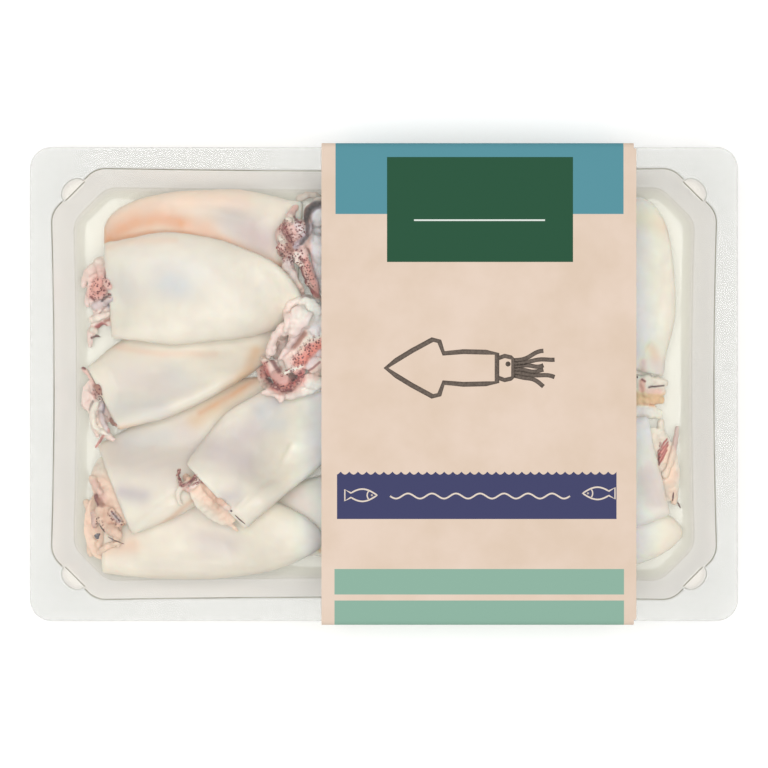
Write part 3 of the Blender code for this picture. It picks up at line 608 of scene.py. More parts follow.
# Where the skin keeps its dark freckles, and where suckers stand: reach in pixels and a path
FRECKLED = {
    "head_far_left": [
        (7, [(283, 224), (287, 233), (292, 244)]),
        (7, [(280, 247), (284, 256)]),
        (7, [(299, 222), (303, 233)]),
        (6, [(300, 252), (305, 268), (310, 284)]),
        (5, [(290, 255), (295, 262)]),
    ],
    "head_front_left": [
        (7, [(99, 284), (95, 293), (101, 292)]),
        (5, [(107, 278), (110, 284)]),
        (3, [(105, 297), (111, 295)]),
        (3, [(93, 337), (100, 337)]),
    ],
    "head_left": [(5, [(97, 388), (101, 397)])],
    "head_mid_left": [(5, [(112, 514), (120, 524)]), (4, [(98, 520), (101, 530)])],
    "head_centre": [
        (7, [(318, 342), (308, 348), (298, 360)]),
        (4, [(268, 380), (280, 389), (292, 386), (301, 374)]),
    ],
}
SUCKERED = {
    "head_centre": [
        (3.2, [(264, 364), (264, 376), (270, 386), (280, 390), (290, 388), (302, 375)]),
        (1.8, [(283, 374), (290, 371), (297, 368), (302, 366)]),
    ],
    "head_front_mid": [
        (1.8, [(179, 470), (178, 476), (180, 482), (183, 486), (189, 484), (197, 475)]),
        (2.0, [(188, 489), (199, 481)]),
    ],
    "head_near_right": [(2.2, [(659, 462), (659, 452), (662, 443)])],
    "head_far_left": [
        (3.0, [(281, 226), (286, 234), (291, 241)]),
        (4.0, [(280, 248), (282, 255)]),
    ],
}

# Thin dark lines that lie in the flesh: radius in metres and a path of pixels
HAIRLINES = [
    (0.00022, [(235, 515), (239, 519), (245, 524)]),
    (0.00040, [(230.6, 510.4), (232, 511.6)]),
    (0.00020, [(108, 537), (116, 541), (124, 544)]),
    (0.00022, [(649, 387.5), (653, 386.5), (664, 385.8)]),
    (0.00036, [(637, 376.2), (637.6, 378)]),
    (0.00030, [(673.5, 492.5), (673, 497), (672.5, 501)]),
    (0.00030, [(677.5, 502), (679, 505), (680.5, 508)]),
]


def linear(hex_colour):
    """An sRGB hex value as linear RGB."""
    shares = [int(hex_colour[i : i + 2], 16) / 255 for i in (0, 2, 4)]
    return tuple(c / 12.92 if c <= 0.04045 else ((c + 0.055) / 1.055) ** 2.4 for c in shares)


def add(tree, kind, settings=None, inputs=None):
    """Adds a node with its own settings; an input is given a value or another node's output."""
    made = tree.nodes.new(kind)
    for key, value in (settings or {}).items():
        setattr(made, key, value)
    for key, value in (inputs or {}).items():
        if isinstance(value, bpy.types.NodeSocket):
            tree.links.new(value, made.inputs[key])
        else:
            made.inputs[key].default_value = value
    return made


def new_surface(name):
    """An empty material and its tree, with an output."""
    made = bpy.data.materials.new(name)
    made.use_nodes = True
    made.node_tree.nodes.clear()
    return made, made.node_tree


def finish_surface(tree, shader):
    add(tree, "ShaderNodeOutputMaterial", None, {"Surface": shader.outputs["BSDF"]})


def blend_colours(tree, share, low, high):
    """A Mix node set to colours, from low to high."""
    settings = {"data_type": "RGBA", "clamp_factor": True}
    made = add(tree, "ShaderNodeMix", settings, {0: share, 6: low, 7: high})
    return made.outputs[2]


def rgba(colour):
    return (*colour, 1.0)


def points_of(mesh):
    found = np.empty(len(mesh.vertices) * 3)
    mesh.vertices.foreach_get("co", found)
    return found.reshape(-1, 3)


def normals_of(mesh):
    found = np.empty(len(mesh.vertices) * 3)
    mesh.vertex_normals.foreach_get("vector", found)
    return found.reshape(-1, 3)


def move_points(mesh, points):
    mesh.vertices.foreach_set("co", points.ravel())
    mesh.update()


def seen_at(points):
    """The pixels at which the photograph's camera sees points."""
    scale = CAMERA_ABOVE / (CAMERA_PLACE.z - points[:, 2]) / PIXEL
    return np.stack([IMAGE / 2 + points[:, 0] * scale, IMAGE / 2 - points[:, 1] * scale], axis=1)


def away_from(pixels, path):
    """How far pixels lie from a path of pixels."""
    path = np.array(path, float)
    nearest = np.full(len(pixels), 1e9)
    for start, end in zip(path, path[1:]):
        along = end - start
        share = ((pixels - start) @ along) / max(along @ along, 1e-9)
        gap = pixels - start - np.clip(share, 0, 1)[:, None] * along
        nearest = np.minimum(nearest, (gap**2).sum(axis=1))
    return np.sqrt(nearest)


def wash(pixels, path, reach, sharpness=2):
    """1 on a path, falling softly to 0 past its reach."""
    return np.exp(-((away_from(pixels, path) / reach) ** sharpness))


def rolling(points, longest, seed, waves=18):
    """Smooth uneven waves between -1 and 1, with lengths from a third of the longest up."""
    draws = np.random.default_rng(seed)
    total = np.zeros(len(points))
    for _ in range(waves):
        length = longest * draws.uniform(0.35, 1.0)
        way = draws.normal(size=3)
        way *= 2 * math.pi / length / np.linalg.norm(way)
        total += length / longest * np.sin(points @ way + draws.uniform(0, 2 * math.pi))
    return total / math.sqrt(waves)


def give_attribute(mesh, name, kind, values):
    """Stores one value or colour for each of a mesh's points."""
    layer = mesh.attributes.new(name, kind, "POINT")
    if kind == "FLOAT_COLOR":
        full = np.concatenate([values, np.ones((len(values), 1))], axis=1)
        layer.data.foreach_set("color", full.ravel())
    else:
        layer.data.foreach_set("value", values)


def evaluated_mesh(helper):
    """The mesh that a helper object's modifiers make; the helper is removed."""
    bpy.context.view_layer.update()
    graph = bpy.context.evaluated_depsgraph_get()
    mesh = bpy.data.meshes.new_from_object(
        helper.evaluated_get(graph), preserve_all_data_layers=True, depsgraph=graph
    )
    bpy.data.objects.remove(helper, do_unlink=True)
    return mesh


def helper_object(name, data):
    made = bpy.data.objects.new(name, data)
    bpy.context.scene.collection.objects.link(made)
    return made


def add_piece(name, mesh, materials, replaced=()):
    """A finished mesh as a piece of the pack."""
    mesh.name = name
    mesh.materials.clear()
    for material in materials:
        mesh.materials.append(material)
    piece = helper_object(name, mesh)
    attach(piece, BODY)
    if replaced:
        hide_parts(*replaced)
    return piece


def mesh_from(name, bm, sharp_above=None):
    """Welds, points the faces out and stores a working mesh."""
    bmesh.ops.remove_doubles(bm, verts=bm.verts, dist=WELD)
    bmesh.ops.recalc_face_normals(bm, faces=bm.faces)
    mesh = bpy.data.meshes.new(name)
    bm.to_mesh(mesh)
    bm.free()
    mesh.shade_smooth()
    if sharp_above is not None:
        mesh.set_sharp_from_angle(angle=math.radians(sharp_above))
    return mesh


def join_loops(bm, loops):
    """Faces between loops of equal count, each to the next."""
    for lower, upper in zip(loops, loops[1:]):
        for i, vertex in enumerate(lower):
            j = (i + 1) % len(lower)
            bm.faces.new((vertex, lower[j], upper[j], upper[i]))


def close_loops(bm, loops):
    """A closed skin over loops, with a cap at both ends."""
    join_loops(bm, loops)
    bm.faces.new(loops[0])
    bm.faces.new(loops[-1])


def loft(name, rings, sharp_above=None):
    """A closed mesh through rings of equal count, capped at both ends."""
    bm = bmesh.new()
    close_loops(bm, [[bm.verts.new(point) for point in ring] for ring in rings])
    return mesh_from(name, bm, sharp_above)


def tube(bm, points, radii, sides=10, flat=1.0):
    """A closed tapering tube with rounded ends, pressed flat by a share, added to a mesh."""
    points = [Vector(p) for p in points]
    first = points[0] - (points[1] - points[0]).normalized() * radii[0] * 0.6
    last = points[-1] + (points[-1] - points[-2]).normalized() * radii[-1] * 0.6
    centres = [first, *points, last]
    sizes = [radii[0] * 0.55, *radii, radii[-1] * 0.55]
    across = None
    loops = []
    for i, centre in enumerate(centres):
        ahead = (centres[min(i + 1, len(centres) - 1)] - centres[max(i - 1, 0)]).normalized()
        if across is None:
            across = ahead.orthogonal().normalized()
        across = (across - ahead * across.dot(ahead)).normalized()
        up = ahead.cross(across)
        loop = []
        for k in range(sides):
            angle = 2 * math.pi * k / sides
            spoke = (across * math.cos(angle) + up * math.sin(angle)) * sizes[i]
            spoke.z *= flat
            loop.append(bm.verts.new(centre + spoke))
        loops.append(loop)
    close_loops(bm, loops)


def smooth_path(path, step):
    """A path of pixels rounded through its points and cut to even steps."""
    path = np.array(path, float)
    if len(path) > 2:
        ends = [2 * path[0] - path[1], *path, 2 * path[-1] - path[-2]]
        rounded = []
        for a, b, c, d in zip(ends, ends[1:], ends[2:], ends[3:]):
            for t in np.linspace(0, 1, 8, endpoint=False):
                part = 2 * b + (c - a) * t + (2 * a - 5 * b + 4 * c - d) * t**2
                rounded.append((part + (3 * b - a - 3 * c + d) * t**3) / 2)
        path = np.array([*rounded, path[-1]])
    lengths = np.concatenate([[0], np.cumsum(np.linalg.norm(np.diff(path, axis=0), axis=1))])
    count = max(int(lengths[-1] / step), 2)
    wanted = np.linspace(0, lengths[-1], count + 1)
    return np.stack([np.interp(wanted, lengths, path[:, k]) for k in (0, 1)], axis=1)


def cad_copy(name):
    """A working copy of a CAD node's mesh with its loose triangles joined."""
    bm = bmesh.new()
    bm.from_mesh(frame["nodes"][name].data)
    bmesh.ops.remove_doubles(bm, verts=bm.verts, dist=WELD)
    return bm


class Flesh:
    """All the squid as laid, for finding what lies at a pixel and how near a neighbour is."""

    def __init__(self):
        self.meshes = {}
        self.tree = None

    def put(self, name, mesh):
        mesh.calc_loop_triangles()
        corners = np.empty(len(mesh.loop_triangles) * 3, int)
        mesh.loop_triangles.foreach_get("vertices", corners)
        self.meshes[name] = (points_of(mesh), corners.reshape(-1, 3))
        self.tree = None

    def joined(self, without=None):
        points, faces, count = [], [], 0
        for name, (own, corners) in self.meshes.items():
            if name != without:
                points.append(own)
                faces.append(corners + count)
                count += len(own)
        return BVHTree.FromPolygons(
            np.concatenate(points).tolist(), np.concatenate(faces).tolist(), all_triangles=True
        )

    def under(self, x, y):
        """The point and its normal that the camera sees at a pixel, or None."""
        if self.tree is None:
            self.tree = self.joined()
        aim = Vector(((x - IMAGE / 2) * PIXEL, (IMAGE / 2 - y) * PIXEL, FLANGE_Z))
        sight = (aim - CAMERA_PLACE).normalized()
        place, normal, _, _ = self.tree.ray_cast(CAMERA_PLACE, sight)
        return (place, normal) if place is not None else None

    def lay(self, path, radius, clear, step=2.0):
        """Points of a strand of that thickness lying along a path of pixels; where no flesh lies
        under any of them the strand lies on the tray's floor."""
        spots = smooth_path(path, step)
        found = [self.under(*spot) for spot in spots]
        level = [spot[0] if spot else None for spot in found]
        lowest = min((p.z for p in level if p is not None), default=FOOT_LINE)
        heights = np.array([p.z if p is not None else lowest for p in level])
        kernel = np.array([1, 2, 3, 2, 1]) / 9
        padded = np.pad(heights, 2, mode="edge")
        heights = np.maximum(np.convolve(padded, kernel, mode="valid"), heights - radius * 0.5)
        rise = np.sin(np.linspace(0, math.pi, len(spots))) * clear + radius * 0.75
        points = []
        for (x, y), height, more in zip(spots, heights, rise):
            z = height + more
            away = (CAMERA_PLACE.z - z) / CAMERA_ABOVE * PIXEL
            points.append((((x - IMAGE / 2) * away), ((IMAGE / 2 - y) * away), z))
        return points


FLESH = Flesh()


def lay_cad_flesh():
    """Starts the flesh with the CAD's own solids."""
    for name, node in frame["nodes"].items():
        if name.startswith(("mantle_", "head_")):
            FLESH.put(name, node.data)


def helper_from(name, bm):
    """A helper object for modifiers, from a working mesh."""
    rough = bpy.data.meshes.new(name)
    bm.to_mesh(rough)
    bm.free()
    return helper_object(name, rough)


def fleshed_mesh(name, bm, cell, smoothing):
    """A rounded solid cut into even cells and smoothed."""
    helper = helper_from(name, bm)
    remesh = helper.modifiers.new("cells", "REMESH")
    remesh.mode = "VOXEL"
    remesh.voxel_size = cell
    smooth = helper.modifiers.new("smooth", "SMOOTH")
    smooth.factor = 0.5
    smooth.iterations = smoothing
    mesh = evaluated_mesh(helper)
    mesh.shade_smooth()
    return mesh


def rounded_copy(name):
    """A CAD node's solid after two rounds of subdivision, as a working mesh."""
    helper = helper_from(name, cad_copy(name))
    rounder = helper.modifiers.new("round", "SUBSURF")
    rounder.levels = rounder.render_levels = 2
    mesh = evaluated_mesh(helper)
    bm = bmesh.new()
    bm.from_mesh(mesh)
    bpy.data.meshes.remove(mesh)
    return bm


def neighbour_nearness(name, points, reach):
    """1 where a point touches another piece of flesh, falling to 0 past the reach."""
    others = FLESH.joined(without=name)
    gaps = np.full(len(points), 10 * reach)
    for i, point in enumerate(points):
        found = others.find_nearest(point, 3 * reach)
        if found[0] is not None:
            gaps[i] = found[3]
    return np.exp(-((gaps / reach) ** 2))


def painted(pixels, base, strokes, sharpness):
    """A colour for each pixel: the base tint under strokes of other tints, all of it paler
    beside the sleeve as painted light against the sleeve's shadow."""
    colours = np.tile(linear(TINTS[base]), (len(pixels), 1))
    for tint, reach, strength, path in strokes:
        share = (strength * wash(pixels, path, reach, sharpness))[:, None]
        colours = colours * (1 - share) + np.array(linear(TINTS[tint])) * share
    # Painted light: colours are raised near the sleeve's edges to offset its shadow
    gaps = np.minimum(abs(pixels[:, 0] - SLEEVE_COLUMNS[0]), abs(pixels[:, 0] - SLEEVE_COLUMNS[1]))
    lift = 1 + SLEEVE_PAINTED_LIGHT * np.exp(-((gaps / SLEEVE_PAINTED_LIGHT_REACH) ** 2))
    return np.minimum(colours * lift[:, None], 0.96)


def masked(pixels, strokes):
    """1 under any of some strokes, falling to 0 beside them."""
    total = np.zeros(len(pixels))
    for reach, path in strokes:
        total = np.maximum(total, wash(pixels, path, reach, 4))
    return total


def make_mantle_flesh(look):
    """Raw squid mantle: skinned wet muscle. Milky, slightly see-through flesh with a satin
    shine from the water on it, faint muscle mottling a few millimetres across, and thin spots
    that look blue-grey."""
    material, tree = new_surface("skinned wet squid mantle")
    where = add(tree, "ShaderNodeTexCoord").outputs["Object"]
    colour = add(tree, "ShaderNodeAttribute", {"attribute_name": "flesh"}).outputs["Color"]
    mottle = add(tree, "ShaderNodeTexNoise", None, {
        "Vector": where, "Scale": 1 / look.mottle_size, "Detail": 3.0, "Roughness": 0.55,
    }).outputs["Fac"]
    share = add(tree, "ShaderNodeMapRange", None, {
        "Value": mottle, "From Min": 0.35, "From Max": 0.70, "To Min": 0.0, "To Max": 0.28,
    }).outputs["Result"]
    mottled = blend_colours(tree, share, colour, rgba(linear("D9CFC6")))
    fibre_place = add(tree, "ShaderNodeMapping", None, {
        "Vector": where, "Scale": (1.0, 0.35, 1.0),
    }).outputs["Vector"]
    fibre = add(tree, "ShaderNodeTexNoise", None, {
        "Vector": fibre_place, "Scale": 1400.0, "Detail": 2.0, "Roughness": 0.6,
    }).outputs["Fac"]
    bump = add(tree, "ShaderNodeBump", None, {
        "Height": fibre, "Strength": 0.18, "Distance": 0.0002,
    }).outputs["Normal"]
    gloss = add(tree, "ShaderNodeMapRange", None, {
        "Value": mottle, "From Min": 0.3, "From Max": 0.7, "To Min": 0.42, "To Max": 0.56,
    }).outputs["Result"]
    shader = add(tree, "ShaderNodeBsdfPrincipled", None, {
        "Base Color": mottled,
        "Roughness": gloss,
        "IOR": 1.38,
        "Subsurface Weight": look.depth_share,
        "Subsurface Radius": (1.0, 0.62, 0.42),
        "Subsurface Scale": look.light_depth,
        "Coat Weight": 0.12,
        "Coat Roughness": 0.22,
        "Coat IOR": 1.33,
        "Normal": bump,
    })
    finish_surface(tree, shader)
    return material


def make_arm_flesh(look):
    """Raw squid skin and arms: thin freckled skin over wet muscle. Pink to maroon, with dark
    round freckles about half a millimetre across, fine wrinkles and a wet shine."""
    material, tree = new_surface("freckled wet squid skin")
    where = add(tree, "ShaderNodeTexCoord").outputs["Object"]
    colour = add(tree, "ShaderNodeAttribute", {"attribute_name": "flesh"}).outputs["Color"]
    freckled = add(tree, "ShaderNodeAttribute", {"attribute_name": "freckles"}).outputs["Fac"]
    mottle = add(tree, "ShaderNodeTexNoise", None, {
        "Vector": where, "Scale": 600.0, "Detail": 3.0, "Roughness": 0.6,
    }).outputs["Fac"]
    share = add(tree, "ShaderNodeMapRange", None, {
        "Value": mottle, "From Min": 0.40, "From Max": 0.70, "To Min": 0.0, "To Max": 0.16,
    }).outputs["Result"]
    mottled = blend_colours(tree, share, colour, rgba(linear("C99A90")))
    cells = add(tree, "ShaderNodeTexVoronoi", None, {
        "Vector": where, "Scale": 1 / look.freckle_spacing, "Randomness": 0.9,
    })
    dot = add(tree, "ShaderNodeMapRange", None, {
        "Value": cells.outputs["Distance"],
        "From Min": 0.30, "From Max": 0.46, "To Min": 1.0, "To Max": 0.0,
    }).outputs["Result"]
    dotted = add(tree, "ShaderNodeMath", {"operation": "MULTIPLY"}, {0: dot, 1: freckled})
    spotted = blend_colours(
        tree, dotted.outputs["Value"], mottled, rgba(linear(TINTS["maroon"]))
    )
    wrinkle = add(tree, "ShaderNodeTexNoise", None, {
        "Vector": where, "Scale": 1500.0, "Detail": 2.0, "Roughness": 0.6,
    }).outputs["Fac"]
    bump = add(tree, "ShaderNodeBump", None, {
        "Height": wrinkle, "Strength": 0.4, "Distance": 0.0003,
    }).outputs["Normal"]
    shader = add(tree, "ShaderNodeBsdfPrincipled", None, {
        "Base Color": spotted,
        "Roughness": 0.48,
        "IOR": 1.36,
        "Subsurface Weight": 0.25,
        "Subsurface Radius": (1.0, 0.45, 0.35),
        "Subsurface Scale": 0.0012,
        "Coat Weight": 0.10,
        "Coat Roughness": 0.16,
        "Coat IOR": 1.33,
        "Normal": bump,
    })
    finish_surface(tree, shader)
    return material


def two_tone(name, noise, tones, finish, span=None, tooth=None):
    """A material that wanders from one tone to another with a noise; a span sharpens the turn,
    and a tooth of some strength stands up from the same noise."""
    material, tree = new_surface(name)
    where = add(tree, "ShaderNodeTexCoord").outputs["Object"]
    patch = add(tree, "ShaderNodeTexNoise", None, {"Vector": where, **noise}).outputs["Fac"]
    share = patch
    if span:
        share = add(tree, "ShaderNodeMapRange", None, {"Value": patch, **span}).outputs["Result"]
    finish = {"Base Color": blend_colours(tree, share, *map(rgba, tones)), **finish}
    if tooth:
        finish["Normal"] = add(tree, "ShaderNodeBump", None, {
            "Height": patch, "Strength": tooth, "Distance": 0.0001,
        }).outputs["Normal"]
    finish_surface(tree, add(tree, "ShaderNodeBsdfPrincipled", None, finish))
    return material


def make_sucker_flesh():
    """Squid sucker rims: small toothed rings of chitin. Dark red at the rim, shiny when wet."""
    return two_tone(
        "sucker rim chitin", {"Scale": 500.0, "Detail": 1.0},
        (linear("8E2F33"), linear("D9A79B")),
        {"Roughness": 0.3, "IOR": 1.45, "Coat Weight": 0.3},
        {"From Min": 0.42, "From Max": 0.60},
    )


def make_dark_line():
    """Thin dark lines in the flesh: dark brown, wet."""
    return two_tone(
        "ink thread", {"Scale": 700.0}, (linear("4A2E30"), linear("7A5450")),
        {"Roughness": 0.3, "Coat Weight": 0.3},
    )


def make_eye():
    """Squid eye: a dark lens under clear skin. Blue-grey, glossy."""
    return two_tone(
        "squid eye", {"Scale": 900.0, "Detail": 2.0}, (linear("2A282E"), linear("77757E")),
        {"Roughness": 0.18, "Coat Weight": 0.6, "Coat Roughness": 0.05},
    )


def clearness(tree, face_on, glancing):
    """A clear sheet's density: low face on, and rising only near a grazing angle."""
    facing = add(tree, "ShaderNodeLayerWeight", None, {"Blend": 0.5}).outputs["Facing"]
    steep = add(tree, "ShaderNodeMath", {"operation": "POWER"}, {0: facing, 1: 3.0})
    return add(tree, "ShaderNodeMapRange", None, {
        "Value": steep.outputs["Value"], "To Min": face_on, "To Max": glancing,
    }).outputs["Result"]


def make_tray_plastic(look):
    """Clear PET, thermoformed from sheet. Clear on the walls, with faint drawing waves and a soft
    grey-green line painted as shade where the foot starts and the bend turns the light aside,
    cloudier on the wet floor, and whitened on the flange, where the film is sealed to it."""
    material, tree = new_surface("thermoformed clear PET")
    where = add(tree, "ShaderNodeTexCoord").outputs["Object"]
    wave = add(tree, "ShaderNodeTexNoise", None, {
        "Vector": where, "Scale": 90.0, "Detail": 2.0, "Roughness": 0.5,
    }).outputs["Fac"]
    height = add(tree, "ShaderNodeSeparateXYZ", None, {"Vector": where}).outputs["Z"]
    plate = add(tree, "ShaderNodeMath", {"operation": "GREATER_THAN"}, {
        0: height, 1: FLANGE_Z - 0.0009,
    }).outputs["Value"]
    drawn = add(tree, "ShaderNodeMapRange", None, {
        "Value": plate, "To Min": 0.08, "To Max": 0.0,
    }).outputs["Result"]
    bump = add(tree, "ShaderNodeBump", None, {
        "Height": wave, "Strength": drawn, "Distance": 0.0008,
    }).outputs["Normal"]
    clear = clearness(tree, look.tray_clear, look.tray_edge)
    low = add(tree, "ShaderNodeMapRange", None, {
        "Value": height, "From Min": FOOT_LINE, "From Max": BASE_Z + 0.001,
    }).outputs["Result"]
    clear = add(tree, "ShaderNodeMapRange", None, {
        "Value": low, "To Min": clear, "To Max": look.floor_density,
    }).outputs["Result"]
    # Painted shade: a soft grey-green line where the foot's bend turns the light aside
    off_line = add(tree, "ShaderNodeMath", {"operation": "SUBTRACT"}, {0: height, 1: FOOT_LINE})
    away = add(tree, "ShaderNodeMath", {"operation": "ABSOLUTE"}, {0: off_line.outputs["Value"]})
    line = add(tree, "ShaderNodeMapRange", None, {
        "Value": away.outputs["Value"], "From Min": 0.0, "From Max": 0.0012,
        "To Min": 0.35, "To Max": 0.0,
    }).outputs["Result"]
    own = blend_colours(tree, low, rgba(look.tray_tint), rgba(look.floor_tint))
    foot_shade_lined = blend_colours(tree, line, own, rgba(linear("B9BCA8")))
    tint = blend_colours(tree, plate, foot_shade_lined, rgba(look.flange_tint))
    clear = add(tree, "ShaderNodeMapRange", None, {
        "Value": plate, "To Min": clear, "To Max": look.flange_density,
    }).outputs["Result"]
    shader = add(tree, "ShaderNodeBsdfPrincipled", None, {
        "Base Color": tint,
        "Roughness": 0.12,
        "IOR": 1.57,
        "Alpha": clear,
        "Normal": bump,
    })
    finish_surface(tree, shader)
    return material


def make_refraction_shade_line(name, hex_colour):
    """Painted shade for a bend in clear PET: the bend turns the light aside and so reads as a thin
    olive-grey line, which this nearly opaque material draws.
    """
    return two_tone(
        name, {"Scale": 60.0}, (linear(hex_colour), linear("E4E2D6")),
        {"Roughness": 0.2, "IOR": 1.57, "Alpha": 0.85},
        {"From Min": 0.4, "From Max": 0.65, "To Min": 0.0, "To Max": 0.4},
    )


def make_film(look):
    """Clear PET lidding film, heat sealed. Shows only as a soft gloss and slack waves."""
    material, tree = new_surface("clear lidding film")
    where = add(tree, "ShaderNodeTexCoord").outputs["Object"]
    wave = add(tree, "ShaderNodeTexNoise", None, {
        "Vector": where, "Scale": 45.0, "Detail": 2.0,
    }).outputs["Fac"]
    gloss = add(tree, "ShaderNodeMapRange", None, {
        "Value": wave, "To Min": 0.08, "To Max": 0.16,
    }).outputs["Result"]
    clear = clearness(tree, look.film_clear, look.film_edge)
    shader = add(tree, "ShaderNodeBsdfPrincipled", None, {
        "Base Color": rgba(linear("F1F1EC")),
        "Roughness": gloss,
        "IOR": 1.5,
        "Alpha": clear,
    })
    finish_surface(tree, shader)
    return material


def inside_span(tree, value, low, high, upper=None):
    """1 where a value lies between two limits; another value may be held under the upper one."""
    above = add(tree, "ShaderNodeMath", {"operation": "GREATER_THAN"}, {0: value, 1: low})
    below = add(tree, "ShaderNodeMath", {"operation": "LESS_THAN"}, {0: upper or value, 1: high})
    both = add(tree, "ShaderNodeMath", {"operation": "MULTIPLY"}, {
        0: above.outputs["Value"], 1: below.outputs["Value"],
    })
    return both.outputs["Value"]


def card_span(low_pixel, high_pixel):
    """Where two pixel columns fall on the sleeve's top panel, in metres from the middle."""
    scale = PIXEL * (CAMERA_PLACE.z - SLEEVE_Z) / CAMERA_ABOVE
    return (low_pixel - IMAGE / 2) * scale, (high_pixel - IMAGE / 2) * scale


def make_printed_card(look):
    """Folding boxboard, printed and matt varnished. A mottled kraft-look beige with flat
    fields of colour, a fine fibre tooth and a low sheen."""
    material, tree = new_surface("printed folding boxboard")
    where = add(tree, "ShaderNodeTexCoord").outputs["Object"]
    axes = add(tree, "ShaderNodeSeparateXYZ", None, {"Vector": where}).outputs
    x, y, z = axes["X"], axes["Y"], axes["Z"]
    mottle = add(tree, "ShaderNodeTexNoise", None, {
        "Vector": where, "Scale": 55.0, "Detail": 4.0, "Roughness": 0.55,
    }).outputs["Fac"]
    share = add(tree, "ShaderNodeMapRange", None, {
        "Value": mottle, "From Min": 0.35, "From Max": 0.65,
    }).outputs["Result"]
    colour = blend_colours(tree, share, rgba(look.card), rgba(look.card_mottle))
    top = add(tree, "ShaderNodeMath", {"operation": "GREATER_THAN"}, {0: z, 1: 0.003})
    peak, _ = card_span(SCALLOP_PEAK, 0)
    wave = add(tree, "ShaderNodeMath", {"operation": "MULTIPLY_ADD"}, {
        0: x, 1: math.pi / look.scallop_pitch, 2: -peak * math.pi / look.scallop_pitch,
    })
    arch = add(tree, "ShaderNodeMath", {"operation": "SINE"}, {0: wave.outputs["Value"]})
    bite = add(tree, "ShaderNodeMath", {"operation": "ABSOLUTE"}, {0: arch.outputs["Value"]})
    scallop = add(tree, "ShaderNodeMath", {"operation": "MULTIPLY_ADD"}, {
        0: bite.outputs["Value"], 1: look.scallop_depth, 2: y,
    })
    fields = [
        (look.blue, (335.5, 623.5), (0, 214), y),
        (look.green, (387, 573), (157, 262), y),
        (look.card_rule, (414, 545), (219.4, 221.0), y),
        (look.navy, (337, 616.5), (471.6, 519), scallop.outputs["Value"]),
        (look.mint, (334.5, 624), (569, 594.5), y),
        (look.mint, (334.5, 624), (600.5, 800), y),
    ]
    for tint, columns, rows, top_edge in fields:
        left, right = card_span(*columns)
        low_row, high_row = card_span(*rows)
        wide = inside_span(tree, x, left, right)
        tall = inside_span(tree, y, -high_row, -low_row, top_edge)
        both = add(tree, "ShaderNodeMath", {"operation": "MULTIPLY"}, {0: wide, 1: tall})
        shown = add(tree, "ShaderNodeMath", {"operation": "MULTIPLY"}, {
            0: both.outputs["Value"], 1: top.outputs["Value"],
        })
        colour = blend_colours(tree, shown.outputs["Value"], colour, rgba(tint))
    tooth = add(tree, "ShaderNodeTexNoise", None, {
        "Vector": where, "Scale": 1800.0, "Detail": 2.0,
    }).outputs["Fac"]
    bump = add(tree, "ShaderNodeBump", None, {
        "Height": tooth, "Strength": 0.12, "Distance": 0.0001,
    }).outputs["Normal"]
    shader = add(tree, "ShaderNodeBsdfPrincipled", None, {
        "Base Color": colour, "Roughness": 0.8, "IOR": 1.35, "Normal": bump,
    })
    finish_surface(tree, shader)
    return material


def make_board(name, hex_colour, speckle_hex):
    """Unprinted board: greyish white pulp with fibres in it, dull."""
    return two_tone(
        name, {"Scale": 900.0, "Detail": 3.0}, (linear(hex_colour), linear(speckle_hex)),
        {"Roughness": 0.8}, tooth=0.3,
    )


def make_ink(name, colour):
    """Printing ink on board, matt varnished: flat with the board's tooth showing."""
    return two_tone(
        name, {"Scale": 1800.0, "Detail": 2.0}, (colour, linear("E3CFBE")),
        {"Roughness": 0.8, "IOR": 1.35},
        {"From Min": 0.3, "From Max": 0.75, "To Min": 0.0, "To Max": 0.12}, tooth=0.12,
    )


def rounded_corner(before, corner, after, radius, steps):
    """The arc that rounds one corner of a flat path, as steps + 1 points."""
    into = (corner - before).normalized()
    out = (after - corner).normalized()
    turn = math.atan2(into.x * out.y - into.y * out.x, into.dot(out))
    start = corner - into * radius * math.tan(abs(turn) / 2)
    side = math.copysign(1.0, turn)
    centre = start + Vector((-into.y, into.x)) * radius * side
    spoke = start - centre
    points = []
    for k in range(steps + 1):
        angle = turn * k / steps
        c, s = math.cos(angle), math.sin(angle)
        points.append(centre + Vector((spoke.x * c - spoke.y * s, spoke.x * s + spoke.y * c)))
    return points


def cut_corner_ring(half_x, half_y, cut, radius, z, bow=0.0):
    """A level ring: a rectangle with cut, rounded corners, whose four sides bow inwards."""
    corners = []
    for sx, sy in ((1, -1), (1, 1), (-1, 1), (-1, -1)):
        along_y = Vector((sx * half_x, sy * (half_y - cut)))
        along_x = Vector((sx * (half_x - cut), sy * half_y))
        corners += [along_x, along_y] if sx * sy < 0 else [along_y, along_x]
    count = len(corners)
    arcs = []
    for i, corner in enumerate(corners):
        after = corners[(i + 1) % count]
        arcs.append(rounded_corner(corners[i - 1], corner, after, radius, CORNER_STEPS))
    ring = []
    for i, arc in enumerate(arcs):
        ring += arc
        if i % 2 == 1:
            ring += bowed_side(arc[-1], arcs[(i + 1) % count][0], bow)
    return [(p.x, p.y, z) for p in ring]


def bowed_side(start, end, bow):
    """Points between two corners of a side, pressed inwards at its middle."""
    along = end - start
    inward = Vector((-along.y, along.x)).normalized()
    shares = [k / SIDE_STEPS for k in range(1, SIDE_STEPS)]
    return [start + along * u + inward * bow * 4 * u * (1 - u) for u in shares]


def wall_ring(inset, z, draft_share, bow=SIDE_BOW):
    """The tray's wall line, moved in from the flange's inner edge by the draft and the inset."""
    back = WALL_DRAFT * draft_share + inset
    cut = MOUTH_CUT + (BASE_CUT - MOUTH_CUT) * draft_share - EIGHTH_TURN_CUT * inset
    radius = max(MOUTH_RADIUS - inset, BASE_FILLET / 2)
    half_x = TRAY_LENGTH / 2 - FLANGE_WIDTH - back
    half_y = TRAY_WIDTH / 2 - FLANGE_WIDTH - back
    return cut_corner_ring(half_x, half_y, cut, radius, z, bow)


